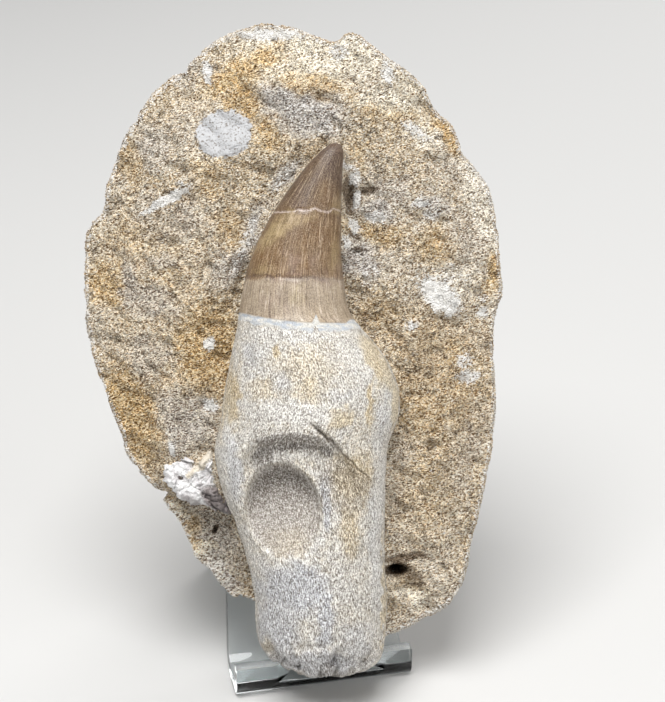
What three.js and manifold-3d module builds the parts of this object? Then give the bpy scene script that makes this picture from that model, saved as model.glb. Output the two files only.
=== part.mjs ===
// A rooted mosasaur tooth in its slab of phosphatic sandstone, standing on a clear bent easel.
// Millimetres, +Z up. The face of the slab looks along -Y and leans back on the easel.
// The fossil is modelled lying flat, in its own frame: x across the face, y up the face, z out of it.
// It is then tilted back, and the easel is turned a little under it, as such a stone settles.
import * as THREE from "three";
import { ImprovedNoise } from "three/addons/math/ImprovedNoise.js";
import { mergeVertices } from "three/addons/utils/BufferGeometryUtils.js";
import Module from "manifold-3d";

const wasm = await Module();
wasm.setup();

// Driving dimensions.
const LEAN = THREE.MathUtils.degToRad(24); // how far slab and easel plate lean back
const EASEL_TURN = THREE.MathUtils.degToRad(13); // the easel's turn about +Z under the slab
const FACE = 20.5; // height of the slab's worked face above its back plane
const FIT_GAP = 0.45; // clearance behind the slab, and round the scrap of bone
const SOCKET_GAP = 0.7; // clearance of the tooth's socket, which is cut with fewer sides
const SLAB_CENTRE = new THREE.Vector2(-9, 88);
const SHEET = 3.5; // thickness of the easel's sheet

// Smooth curve through rows of [position, values...], read at one position.
function along(rows, position) {
  const last = rows.length - 1;
  let i = 0;
  while (i < last - 1 && position > rows[i + 1][0]) i++;
  const [a, b] = [rows[i], rows[i + 1]];
  const [before, after] = [rows[Math.max(i - 1, 0)], rows[Math.min(i + 2, last)]];
  const t = THREE.MathUtils.clamp((position - a[0]) / (b[0] - a[0]), 0, 1);
  return a.slice(1).map((value, k) => {
    const next = b[k + 1];
    const rise = (p, q) => (q[0] === p[0] ? 0 : (q[k + 1] - p[k + 1]) / (q[0] - p[0]));
    const slopeA = rise(before, b) * (b[0] - a[0]);
    const slopeB = rise(a, after) * (b[0] - a[0]);
    const t2 = t * t;
    const t3 = t2 * t;
    return (
      (2 * t3 - 3 * t2 + 1) * value +
      (t3 - 2 * t2 + t) * slopeA +
      (3 * t2 - 2 * t3) * next +
      (t3 - t2) * slopeB
    );
  });
}

// 0 below low, 1 above high, smooth between.
const ease = (value, low, high) => THREE.MathUtils.smoothstep(value, low, high);

// A smooth dent: 1 at its middle, 0 from its elliptical edge outwards.
function dent(x, y, [cx, cy], [rx, ry], turn = 0) {
  const [dx, dy] = [x - cx, y - cy];
  const [c, s] = [Math.cos(turn), Math.sin(turn)];
  const r = Math.hypot((dx * c + dy * s) / rx, (dy * c - dx * s) / ry);
  return r >= 1 ? 0 : (1 - r * r) ** 2;
}

// A closed skin over rings of equal length, with a point at each end.
function skin(start, rings, end) {
  const count = rings[0].length;
  const points = [start, ...rings.flat(), end];
  const at = (ring, k) => 1 + ring * count + (k % count);
  const faces = [];
  for (let k = 0; k < count; k++) {
    faces.push(0, at(0, k), at(0, k + 1));
    for (let ring = 0; ring < rings.length - 1; ring++) {
      faces.push(at(ring, k), at(ring + 1, k), at(ring + 1, k + 1));
      faces.push(at(ring, k), at(ring + 1, k + 1), at(ring, k + 1));
    }
    faces.push(at(rings.length - 1, k), points.length - 1, at(rings.length - 1, k + 1));
  }
  return new THREE.BufferGeometry().setFromPoints(points).setIndex(faces);
}

// three.js geometry to a manifold-3d solid, and back.
function solid(geometry) {
  const bare = geometry.clone();
  bare.deleteAttribute("normal");
  bare.deleteAttribute("uv");
  const merged = mergeVertices(bare, 1e-4);
  const made = new wasm.Manifold(
    new wasm.Mesh({
      numProp: 3,
      vertProperties: new Float32Array(merged.attributes.position.array),
      triVerts: new Uint32Array(merged.index.array),
    }),
  );
  return made;
}

function geometryOf(made) {
  const mesh = made.getMesh();
  return new THREE.BufferGeometry()
    .setAttribute("position", new THREE.BufferAttribute(mesh.vertProperties, 3))
    .setIndex(new THREE.BufferAttribute(mesh.triVerts, 1));
}

function piece(name, geometry, look) {
  const flat = geometry.toNonIndexed();
  flat.computeVertexNormals();
  const mesh = new THREE.Mesh(flat, new THREE.MeshStandardMaterial(look));
  mesh.name = name;
  return mesh;
}

// ---------------------------------------------------------------- the tooth
// One tooth, grown in one piece: a stout fibrous root with a curved enamel crown on top.
// Rows of [height, left edge, right edge, back, front] from the root's blunt end to the tip.
const TOOTH = [
  [0.9, -8.2, 5.8, 9.0, 24.0],
  [2.1, -11.4, 8.8, 7.6, 27.5],
  [4.2, -15.0, 11.8, 6.8, 30.5],
  [6.4, -17.2, 12.9, 6.4, 32.2],
  [9.5, -18.9, 13.4, 6.2, 33.4],
  [14.0, -19.8, 13.8, 6.2, 34.2],
  [22.0, -20.3, 14.0, 6.4, 35.0],
  [30.0, -21.9, 13.5, 6.8, 35.7],
  [38.4, -24.4, 13.5, 7.0, 36.6],
  [48.6, -28.2, 13.6, 7.0, 38.2],
  [56.2, -30.0, 13.9, 7.0, 39.2],
  [61.0, -29.9, 14.5, 7.0, 39.8],
  [66.4, -28.6, 16.6, 7.0, 40.4],
  [71.5, -27.9, 17.3, 7.2, 40.6],
  [79.2, -26.6, 15.4, 7.8, 40.2],
  [86.8, -25.1, 10.2, 9.4, 38.4],
  [93.5, -23.9, 4.6, 11.6, 36.2],
  [102.1, -22.4, 2.9, 13.2, 35.0],
  [109.8, -20.0, 2.2, 15.0, 34.0],
  [117.4, -16.2, 2.2, 17.2, 33.0],
  [125.1, -11.1, 2.4, 20.0, 32.0],
  [130.8, -6.7, 2.6, 22.6, 31.2],
  [134.4, -3.2, 2.8, 24.6, 30.4],
  [136.2, -0.9, 2.2, 26.2, 29.4],
];
const ROOT_END = new THREE.Vector3(-2, 0.1, 17);
const CROWN_TIP = new THREE.Vector3(0.8, 136.8, 27.8);
const ENAMEL_EDGE = 92; // height at which the enamel of the crown begins

// Where a replacement tooth pressed on the root, it left a wide arched recess with a deep oval pit in it.
const RECESS = { middle: [-8.6, 44.0], size: [18.8, 18.4], depth: 2.6, fadeLow: 33, fadeHigh: 58 };
const LEFT_FLANGE = [-24.5, -20.5]; // the root's left edge stands proud of the recess
const PIT = { middle: [-12.5, 44.0], size: [10.2, 12.6], turn: 0.21, shallow: 1.5, deep: 5.6 };

// How far the root's front stands back from its smooth form.
function rootRelief(x, y) {
  const recessReach = Math.hypot(
    (x - RECESS.middle[0]) / RECESS.size[0],
    (y - RECESS.middle[1]) / RECESS.size[1],
  );
  const fade = ease(y, RECESS.fadeLow, RECESS.fadeHigh) * ease(x, ...LEFT_FLANGE);
  const recess = RECESS.depth * fade * (1 - ease(recessReach, 0.9, 1));
  const [dx, dy] = [x - PIT.middle[0], y - PIT.middle[1]];
  const across = (dx * Math.cos(PIT.turn) + dy * Math.sin(PIT.turn)) / PIT.size[0];
  const upward = (dy * Math.cos(PIT.turn) - dx * Math.sin(PIT.turn)) / PIT.size[1];
  const pitReach = Math.hypot(across, upward);
  const floor = THREE.MathUtils.lerp(PIT.shallow, PIT.deep, ease(upward, -1, 0.7));
  return recess + floor * (1 - ease(pitReach, 0.72, 1));
}

// Turns round a ring, from the right-hand edge over the front to the left, and back behind.
function ringTurns(inFront, behind) {
  return [
    ...Array.from({ length: inFront }, (_, k) => (Math.PI * k) / inFront),
    ...Array.from({ length: behind }, (_, k) => Math.PI * (1 + k / behind)),
  ];
}

// One ring of the tooth: a rounded oval between its four edges, relief on its front half only.
function toothRing(height, turns, grow, relief) {
  const [left, right, back, front] = along(TOOTH, height);
  const [cx, cz] = [(left + right) / 2, (back + front) / 2];
  const [rx, rz] = [(right - left) / 2 + grow, (front - back) / 2 + grow];
  const frontPower = 2 / (height < ENAMEL_EDGE ? 2.25 : 2.05);
  const backPower = 2 / THREE.MathUtils.lerp(1.5, 2, ease(height, 10, 34));
  return turns.map((turn) => {
    const [c, s] = [Math.cos(turn), Math.sin(turn)];
    const power = s < 0 ? backPower : frontPower;
    const x = cx + rx * Math.sign(c) * Math.abs(c) ** power;
    const z = cz + rz * Math.sign(s) * Math.abs(s) ** power;
    const facing = ease(s, 0.1, 0.5);
    return new THREE.Vector3(x, height, relief ? z - facing * rootRelief(x, height) : z);
  });
}

function toothGeometry({ turns, heights, grow = 0, relief = true }) {
  const rings = heights.map((height) => toothRing(height, turns, grow, relief));
  const shift = new THREE.Vector3(0, grow, 0);
  return skin(ROOT_END.clone().sub(shift), rings, CROWN_TIP.clone().add(shift));
}

// Ring heights: close together over the rounded end and the pit.
function toothHeights(step, pitStep) {
  const heights = TOOTH.slice(0, 5).map((row) => row[0]);
  const [pitLow, pitHigh] = [29, 66];
  for (let y = 9.5 + step; y < 132; y += y > pitLow && y < pitHigh ? pitStep : step) heights.push(y);
  return [...heights, 134.4, 136.2];
}

// ---------------------------------------------------------------- the slab of rock
// Outline of the slab, anticlockwise from the right-hand side, with its notches and corners.
const SLAB_OUTLINE = [
  [44.1, 107.7], [43.6, 115.5], [41.5, 125.4], [37.1, 132.7], [34.5, 135.8], [31.9, 143.1],
  [28.0, 146.2], [25.4, 150.6], [23.8, 154.0], [18.6, 158.4], [15.2, 159.7], [9.2, 165.4],
  [6.6, 166.9], [3.6, 166.9], [1.1, 164.5], [-3.8, 165.5], [-11.0, 168.8], [-16.3, 169.4],
  [-24.0, 168.0], [-27.7, 166.7], [-36.5, 159.7], [-38.2, 157.0], [-43.8, 154.2], [-49.0, 148.3],
  [-54.7, 138.9], [-57.9, 129.8], [-60.3, 120.4], [-63.4, 117.4], [-64.9, 110.3], [-64.7, 96.5],
  [-62.3, 86.9], [-58.9, 72.1], [-55.4, 62.5], [-53.7, 56.7], [-46.9, 48.9], [-43.4, 47.0],
  [-43.8, 44.8], [-39.4, 38.8], [-35.2, 29.4], [-32.4, 26.8], [-26.7, 20.9], [-20.2, 17.2],
  [-9.0, 9.8], [3.0, 7.0], [13.7, 8.8], [25.2, 15.6], [31.0, 19.6], [34.4, 26.2],
  [37.6, 37.7], [41.2, 57.0], [42.4, 72.6], [42.6, 88.0], [43.2, 95.8], [44.9, 98.3],
  [44.9, 101.0],
];
const TRENCH = { middle: [4.9, 122.5], size: [3.0, 9.5], depth: 6.5 }; // cut beside the crown
const HOLLOW = { middle: [9.0, 124.6], size: [4.2, 3.4], depth: 2.6 };
const BORING = { middle: [18.0, 27.6], size: [4.0, 2.8], depth: 9.0 }; // an animal's boring
const SCOOP = { middle: [19.8, 23.4], size: [5.6, 5.2], depth: 3.0 };
const STEP_LINE = { from: [-47.5, 49.6], to: [-22.0, 42.6], drop: 6.5 }; // lower ledge, bottom left

// Lumps of a broken rock face, large and small.
const noise = new ImprovedNoise();
function lumps(x, y, layer) {
  return (
    1.5 * noise.noise(x / 21, y / 21, layer) +
    1.3 * noise.noise(x / 9, y / 9, layer + 0.4) +
    0.6 * noise.noise(x / 4.3, y / 4.3, layer + 0.7)
  );
}

// Height of the slab's front, where reach is 0 at its middle and 1 at its edge.
function slabFront(x, y, reach) {
  const span = [STEP_LINE.to[0] - STEP_LINE.from[0], STEP_LINE.to[1] - STEP_LINE.from[1]];
  const below =
    ((x - STEP_LINE.from[0]) * span[1] - (y - STEP_LINE.from[1]) * span[0]) / Math.hypot(...span);
  const step = STEP_LINE.drop * ease(below, -0.6, 2.4) * (1 - ease(x, -18, -8));
  let height = FACE - 4.2 * ease(reach, 0.72, 1.0) + lumps(x, y, 3.1) - step;
  for (const { middle, size, depth } of [TRENCH, HOLLOW, BORING, SCOOP])
    height -= depth * dent(x, y, middle, size);
  return height;
}

// Height of the slab's back: it follows the turned easel plate in the middle and levels off each side.
function slabBack(x, y, reach) {
  const turned = 0.9 - Math.tan(EASEL_TURN) * 26 * Math.tanh(x / 26);
  return turned + 0.7 * lumps(x, y, 8.2) + 4.6 * ease(reach, 0.68, 1.0);
}

function slabGeometry(count) {
  const points = SLAB_OUTLINE.map(([x, y]) => new THREE.Vector3(x, y, 0));
  const outline = new THREE.CatmullRomCurve3(points, true, "centripetal").getSpacedPoints(count);
  outline.pop();
  const reachAt = (reach, height) =>
    outline.map((edge) => {
      const x = THREE.MathUtils.lerp(SLAB_CENTRE.x, edge.x, reach);
      const y = THREE.MathUtils.lerp(SLAB_CENTRE.y, edge.y, reach);
      return new THREE.Vector3(x, y, height(x, y, reach));
    });
  const front = [0.3, 0.42, 0.52, 0.61, 0.69, 0.76, 0.82, 0.875, 0.92, 0.955, 0.98];
  const back = [0.965, 0.92, 0.85, 0.74, 0.58, 0.36];
  const waist = (share) => (x, y) =>
    THREE.MathUtils.lerp(slabFront(x, y, 1), slabBack(x, y, 1), share);
  const rings = [
    ...front.map((reach) => reachAt(reach, slabFront)),
    reachAt(1, waist(0.2)),
    reachAt(0.996, waist(0.55)),
    reachAt(0.985, waist(0.85)),
    ...back.map((reach) => reachAt(reach, slabBack)),
  ];
  const { x, y } = SLAB_CENTRE;
  const pole = (height) => new THREE.Vector3(x, y, height(x, y, 0));
  return skin(pole(slabFront), rings, pole(slabBack));
}

// ---------------------------------------------------------------- a scrap of bone beside the root
// A chalky, crumbling lump in the broken edge of the rock, steep on its lower side.
const SCRAP = { middle: [-35.6, 50.4], size: [8.6, 7.2], top: 22.6, bottom: 11 };

function scrapGeometry(count, grow) {
  const levels = [
    [0.3, 1.0], [0.58, 0.97], [0.8, 0.86], [0.95, 0.6], [1.0, 0.25], [0.88, 0.0],
  ];
  const tall = SCRAP.top - SCRAP.bottom;
  const at = (x, y, level) => {
    const slope = 0.12 * (x - SCRAP.middle[0]) + 0.1 * (y - SCRAP.middle[1]);
    const crumbs = 1.6 * noise.noise(x / 3.1, y / 3.1, 5.3 + level);
    const height = SCRAP.bottom + level * (tall + slope + crumbs) + grow * (2 * level - 1);
    return new THREE.Vector3(x, y, height);
  };
  const rings = levels.map(([reach, level]) =>
    Array.from({ length: count }, (_, k) => {
      const turn = (2 * Math.PI * k) / count;
      const ragged = 1 + 0.09 * Math.sin(3 * turn + 0.7) + 0.06 * Math.sin(7 * turn + 2);
      const x = SCRAP.middle[0] + (reach * ragged * SCRAP.size[0] + grow) * Math.cos(turn);
      const y = SCRAP.middle[1] + (reach * ragged * SCRAP.size[1] + grow) * Math.sin(turn);
      return at(x, y, level);
    }),
  );
  return skin(at(...SCRAP.middle, 1), rings, at(...SCRAP.middle, 0));
}

// ---------------------------------------------------------------- the easel
// One clear sheet: two low hooks in front, a short ledge, a plate leaning back, and a rear leg.
const EASEL = {
  halfWidth: 23.4, // of ledge and hooks
  lipHeight: 8.9, // top of the hooks above the table
  ledgeDepth: 9.0, // from the hooks' backs to the plate
  plateLength: 76,
  taper: THREE.MathUtils.degToRad(4.5), // the plate narrows upwards on each side
  legLean: THREE.MathUtils.degToRad(18),
  bends: [2.2, 8, 4.2], // radius of the sheet's middle line at the hooks, the heel and the top
  gapFront: [-12.6, 16.2], // the gap between the hooks at their front faces
  gapBack: [-9.4, 12.9], // and at their backs: the ends are mitred to cradle the root
};
const EASEL_ORIGIN = new THREE.Vector3(-1.9, -11, 0.05); // hooks' front at table level

// The middle line of the sheet from a hook's top to the leg's foot, rounded at each corner.
function easelPath() {
  const { lipHeight, ledgeDepth, plateLength, legLean, bends } = EASEL;
  const low = SHEET / 2;
  const heel = new THREE.Vector2(SHEET + ledgeDepth + low / Math.cos(LEAN) - low * Math.tan(LEAN), low);
  const top = new THREE.Vector2(
    heel.x + plateLength * Math.sin(LEAN),
    heel.y + plateLength * Math.cos(LEAN),
  );
  const below = -2 * SHEET; // the leg is cut off level with the table
  const foot = new THREE.Vector2(top.x + (top.y - below) * Math.tan(legLean), below);
  const corners = [new THREE.Vector2(low, lipHeight), new THREE.Vector2(low, low), heel, top, foot];
  const path = [corners[0]];
  for (let i = 1; i < corners.length - 1; i++) {
    const into = corners[i].clone().sub(corners[i - 1]).normalize();
    const outOf = corners[i + 1].clone().sub(corners[i]).normalize();
    const turn = Math.acos(into.dot(outOf));
    const bend = bends[i - 1];
    const cut = bend * Math.tan(turn / 2);
    const side = Math.sign(into.cross(outOf));
    const centre = corners[i]
      .clone()
      .addScaledVector(into, -cut)
      .add(new THREE.Vector2(-into.y, into.x).multiplyScalar(side * bend));
    const spoke = corners[i].clone().addScaledVector(into, -cut).sub(centre);
    const steps = Math.ceil(turn / THREE.MathUtils.degToRad(13));
    for (let k = 0; k <= steps; k++)
      path.push(spoke.clone().rotateAround(new THREE.Vector2(), (side * turn * k) / steps).add(centre));
  }
  path.push(corners.at(-1));
  return path;
}

function easelGeometry() {
  const { halfWidth, taper, gapFront, gapBack, lipHeight } = EASEL;
  const path = easelPath();
  const apex = Math.max(...path.map((point) => point.y));
  const topIndex = path.findIndex((point) => point.y === apex);
  const rings = path.map((point, i) => {
    const [before, after] = [path[Math.max(i - 1, 0)], path[Math.min(i + 1, path.length - 1)]];
    const across = after.clone().sub(before).normalize();
    const out = new THREE.Vector2(-across.y, across.x).multiplyScalar(SHEET / 2);
    const climb = i > topIndex ? apex : Math.max(0, point.y - SHEET / 2);
    const onHook = i < path.length / 2 && point.x < SHEET + EASEL.ledgeDepth / 2;
    const width = onHook ? halfWidth : halfWidth - climb * Math.tan(taper);
    const corner = (side, face) =>
      new THREE.Vector3(side * width, point.x + face * out.x, point.y + face * out.y);
    return [corner(-1, -1), corner(1, -1), corner(1, 1), corner(-1, 1)];
  });
  const middle = (ring) => new THREE.Vector3().add(ring[0]).add(ring[2]).multiplyScalar(0.5);
  const sheet = solid(skin(middle(rings[0]), rings, middle(rings.at(-1))));
  // the gap between the hooks is wider in front; it is cut down to the level of the ledge
  const slope = [0, 1].map((side) => (gapFront[side] - gapBack[side]) / SHEET);
  const gapAt = (y) => [0, 1].map((side) => gapFront[side] - y * slope[side]);
  const [inFront, behind] = [-3, SHEET + 1.5];
  const plan = new THREE.Shape([
    new THREE.Vector2(gapAt(inFront)[0], inFront),
    new THREE.Vector2(gapAt(inFront)[1], inFront),
    new THREE.Vector2(gapAt(behind)[1], behind),
    new THREE.Vector2(gapAt(behind)[0], behind),
  ]);
  const gap = new THREE.ExtrudeGeometry(plan, { depth: lipHeight, bevelEnabled: false });
  gap.translate(0, 0, SHEET);
  const table = new THREE.BoxGeometry(400, 400, 40).translate(0, 0, -20);
  return geometryOf(sheet.subtract(solid(gap)).subtract(solid(table)));
}

// ---------------------------------------------------------------- putting it together
const fossil = new THREE.Group();
fossil.rotation.x = Math.PI / 2 - LEAN;
const easel = new THREE.Group();
easel.rotation.z = EASEL_TURN;
easel.position.copy(EASEL_ORIGIN);
fossil.updateMatrixWorld();
easel.updateMatrixWorld();

// A block standing behind the plate's front, as the flattened back of the slab meets it.
function behindPlate() {
  const { halfWidth, ledgeDepth, plateLength } = EASEL;
  const block = new THREE.BoxGeometry(2 * halfWidth + 6, 60, plateLength + 30);
  block.translate(0, 30 - FIT_GAP, (plateLength + 30) / 2 - 10);
  block.rotateX(-LEAN);
  block.translate(0, SHEET + ledgeDepth - SHEET * Math.tan(LEAN), 0);
  return block.applyMatrix4(fossil.matrixWorld.clone().invert().multiply(easel.matrixWorld));
}

const wideTooth = solid(
  toothGeometry({
    turns: ringTurns(18, 14),
    heights: toothHeights(6, 6),
    grow: SOCKET_GAP,
    relief: false,
  }),
);
const rock = solid(slabGeometry(84))
  .subtract(wideTooth)
  .subtract(solid(scrapGeometry(20, FIT_GAP)))
  .subtract(solid(behindPlate()));
const scrap = solid(scrapGeometry(20, 0)).subtract(wideTooth);

fossil.add(
  piece("matrix_slab", geometryOf(rock), { color: 0xb3a288, roughness: 0.95 }),
  piece("tooth", toothGeometry({ turns: ringTurns(32, 14), heights: toothHeights(4.6, 1.8) }), {
    color: 0xcfc8bb,
    roughness: 0.7,
  }),
  piece("bone_scrap", geometryOf(scrap), { color: 0xd6d3cf, roughness: 0.9 }),
);
easel.add(
  piece("easel", easelGeometry(), {
    color: 0xf2f6f7,
    roughness: 0.05,
    transparent: true,
    opacity: 0.3,
  }),
);

const specimen = new THREE.Group();
specimen.add(fossil, easel);
specimen.updateMatrixWorld(true);
const box = new THREE.Box3().setFromObject(specimen, true);
const middle = box.getCenter(new THREE.Vector3());
specimen.position.set(-middle.x, -middle.y, -box.min.z);

export default specimen;
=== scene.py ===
"""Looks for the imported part: a rooted mosasaur tooth in its slab of sandstone, on a clear easel.

The part's frame is in metres, +Z up. The fossil is shaped as it lies on a bench, in millimetres:
x across the slab's face, y up the face and z out of it. It is then leaned back on its easel."""

import math

import bmesh
import bpy
import numpy as np
from mathutils import Matrix, Vector, noise


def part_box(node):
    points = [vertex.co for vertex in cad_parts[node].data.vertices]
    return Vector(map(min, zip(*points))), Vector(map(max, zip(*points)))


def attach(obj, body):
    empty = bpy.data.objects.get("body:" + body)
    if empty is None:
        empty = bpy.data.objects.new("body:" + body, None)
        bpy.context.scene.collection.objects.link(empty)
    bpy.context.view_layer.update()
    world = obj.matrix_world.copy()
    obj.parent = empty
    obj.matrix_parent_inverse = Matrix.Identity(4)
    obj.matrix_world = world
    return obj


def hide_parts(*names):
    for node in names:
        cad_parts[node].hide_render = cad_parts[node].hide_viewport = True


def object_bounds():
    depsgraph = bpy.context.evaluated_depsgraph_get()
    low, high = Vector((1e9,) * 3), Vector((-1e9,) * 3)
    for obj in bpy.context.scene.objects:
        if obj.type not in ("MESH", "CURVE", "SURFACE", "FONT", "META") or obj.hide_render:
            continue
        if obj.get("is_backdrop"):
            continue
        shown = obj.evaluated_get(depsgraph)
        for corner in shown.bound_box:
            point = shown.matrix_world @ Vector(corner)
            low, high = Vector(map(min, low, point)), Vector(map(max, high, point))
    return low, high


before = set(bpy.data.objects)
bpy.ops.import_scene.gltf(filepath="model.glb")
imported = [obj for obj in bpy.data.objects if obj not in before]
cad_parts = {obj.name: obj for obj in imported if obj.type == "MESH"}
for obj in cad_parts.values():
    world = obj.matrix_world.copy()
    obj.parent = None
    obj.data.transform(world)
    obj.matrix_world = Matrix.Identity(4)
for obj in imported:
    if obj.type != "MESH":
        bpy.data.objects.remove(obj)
cad_low, cad_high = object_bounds()

# ---------------------------------------------------------------- the tooth
# A mosasaur's tooth, grown in one piece: a stout, fibrous root, whiter and rougher than the
# brown enamel crown that curves up from it. A replacement tooth pressed an arched recess and an
# oval pit into the root. It sits half sunk in the rock, whose face it stands out of.
LEAN = math.radians(24)  # how far the slab leans back
TOOTH_ROWS = [  # height, left edge, right edge, back, front
    (0.9, -8.2, 5.8, 9, 26.8),
    (2.1, -11.4, 8.8, 7.6, 29.4),
    (4.2, -15, 11.8, 6.8, 31),
    (6.4, -17.2, 12.9, 6.4, 32.2),
    (9.5, -18.9, 13.4, 6.2, 33.4),
    (14, -19.8, 13.8, 6.2, 34.2),
    (22, -20.3, 14, 6.4, 35),
    (30, -21.9, 13.5, 6.8, 35.7),
    (38.4, -24.4, 13.5, 7, 36.6),
    (48.6, -28.2, 13.6, 7, 38.2),
    (56.2, -30, 13.9, 7, 39.2),
    (61, -29.9, 14.5, 7, 39.8),
    (66.4, -28.6, 16.6, 7, 40.4),
    (71.5, -27.9, 17.3, 7.2, 40.6),
    (79.2, -26.6, 15.4, 7.8, 40.2),
    (86.8, -25.1, 10.2, 9.4, 38.4),
    (93.5, -23.9, 4.6, 11.6, 36.2),
    (102.1, -22.4, 2.9, 13.2, 35),
    (109.8, -20, 2.2, 15, 34),
    (117.4, -16.2, 2.2, 17.2, 33),
    (125.1, -11.1, 2.4, 20, 32),
    (130.8, -6.7, 2.6, 22.6, 31.2),
    (134.4, -3.2, 2.8, 24.6, 30.4),
    (136.2, -0.9, 2.2, 26.2, 29.4),
]
ROOT_END = (-2.0, 0.1, 17.0)
CROWN_TIP = (0.8, 136.8, 27.8)
LOWEST, HIGHEST = 0.9, 136.2  # the first and last rings of the tooth
ENAMEL_EDGE = 91.1  # height of the enamel's lower edge, at its lowest
ROOT_LOBES = (6.0, 14.0)  # ragged below the first height, sound above the second
FRONT_COLUMNS, BACK_COLUMNS, LEVELS = 205, 92, 326  # of the tooth's mesh
ROOT_ROUNDNESS, CROWN_ROUNDNESS = 2.25, 2.05  # of the front, where 2 makes an ellipse
CROWN_BASE = 92.0  # height where the root's roundness gives way to the crown's
NOMINAL_RADIUS = 16.0  # of the coordinates that fibres and striae follow
RECESS = {
    "middle": (-9.6, 44.0), "size": (18.0, 19.4), "squareness": 2.5, "depth": 4.8, "fade": (36, 59),
}
LEFT_FLANGE = (-24.5, -20.5)  # the root's left edge stands proud of the recess
PIT = {"middle": (-12.3, 43.9), "size": (9.9, 12.4), "turn": 0.21, "shallow": 3.0, "deep": 7.4}
# painted highlight: a line along the pit's lower lip is painted pale, where the lip catches the light
PIT_LIP_HIGHLIGHT = [
    (-19.2, 38), (-16.8, 34.2), (-13.2, 31.9), (-9.2, 31.3), (-5.4, 33.2), (-3, 37.2),
]
# cuts: x, y, half width and depth at each place along them
GASH = [
    (-5.4, 66, 0.5, 0.9), (-3.2, 64.2, 0.8, 2), (-0.6, 61.7, 1, 2.4), (1.6, 59.6, 0.7, 1.8),
    (4.3, 57, 0.5, 1.1), (10, 51.4, 0.4, 0.6),
]
ROOT_CRACKS = [
    GASH,
    [(-19.7, 64.5, 0.3, 0.1), (-19.4, 62.5, 0.45, 0.5), (-18.2, 60.2, 0.7, 0.9)],
    [(-3.2, 12, 1, 0.1), (-2.6, 7, 1.6, 0.5), (-3.4, 1, 2, 1.2)],
    [(1.4, 14, 0.8, 0.1), (0.6, 8, 1.3, 0.7), (1.4, 1, 2, 1.8)],
    [(-10.6, 7, 0.8, 0.1), (-10, 1, 1.6, 0.9)],
    [(7, 13, 0.8, 0.1), (6.4, 7, 1.2, 0.7), (7.6, 1, 1.8, 1.3)],
    [(-15, 9, 0.8, 0.1), (-13, 3, 1.6, 0.8)],
]
# a break right across the crown, healed pale, and another lower down, open and dark
PALE_BREAK = [
    (-15, 119.2), (-12.4, 119), (-10, 119), (-8.7, 119.5), (-6.4, 119.2), (-4.4, 119.9),
    (-2.4, 119), (-0.7, 119), (0.3, 119.9), (2.4, 119.4),
]
DARK_BREAK = [
    (-21, 102.6), (-16.7, 103), (-15.4, 102.2), (-13.7, 102.6), (-10.7, 102.2), (-8.1, 102.1),
    (-4.7, 102.3), (-2, 101.4), (3, 102),
]
HAIRLINES = [
    [(-3, 126.2), (-5.2, 121), (-6.6, 114)], [(-5.2, 129.4), (-10.6, 120.4)],
    [(-7.5, 127.2), (-11.8, 120.6)], [(-0.4, 128.4), (-1.4, 122.6)], [(1, 117.6), (0.4, 112)],
    [(-12, 118.2), (-14, 113)], [(-3, 116.6), (-3.4, 110)], [(-8.6, 100.2), (-9, 93.8)],
]
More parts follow.
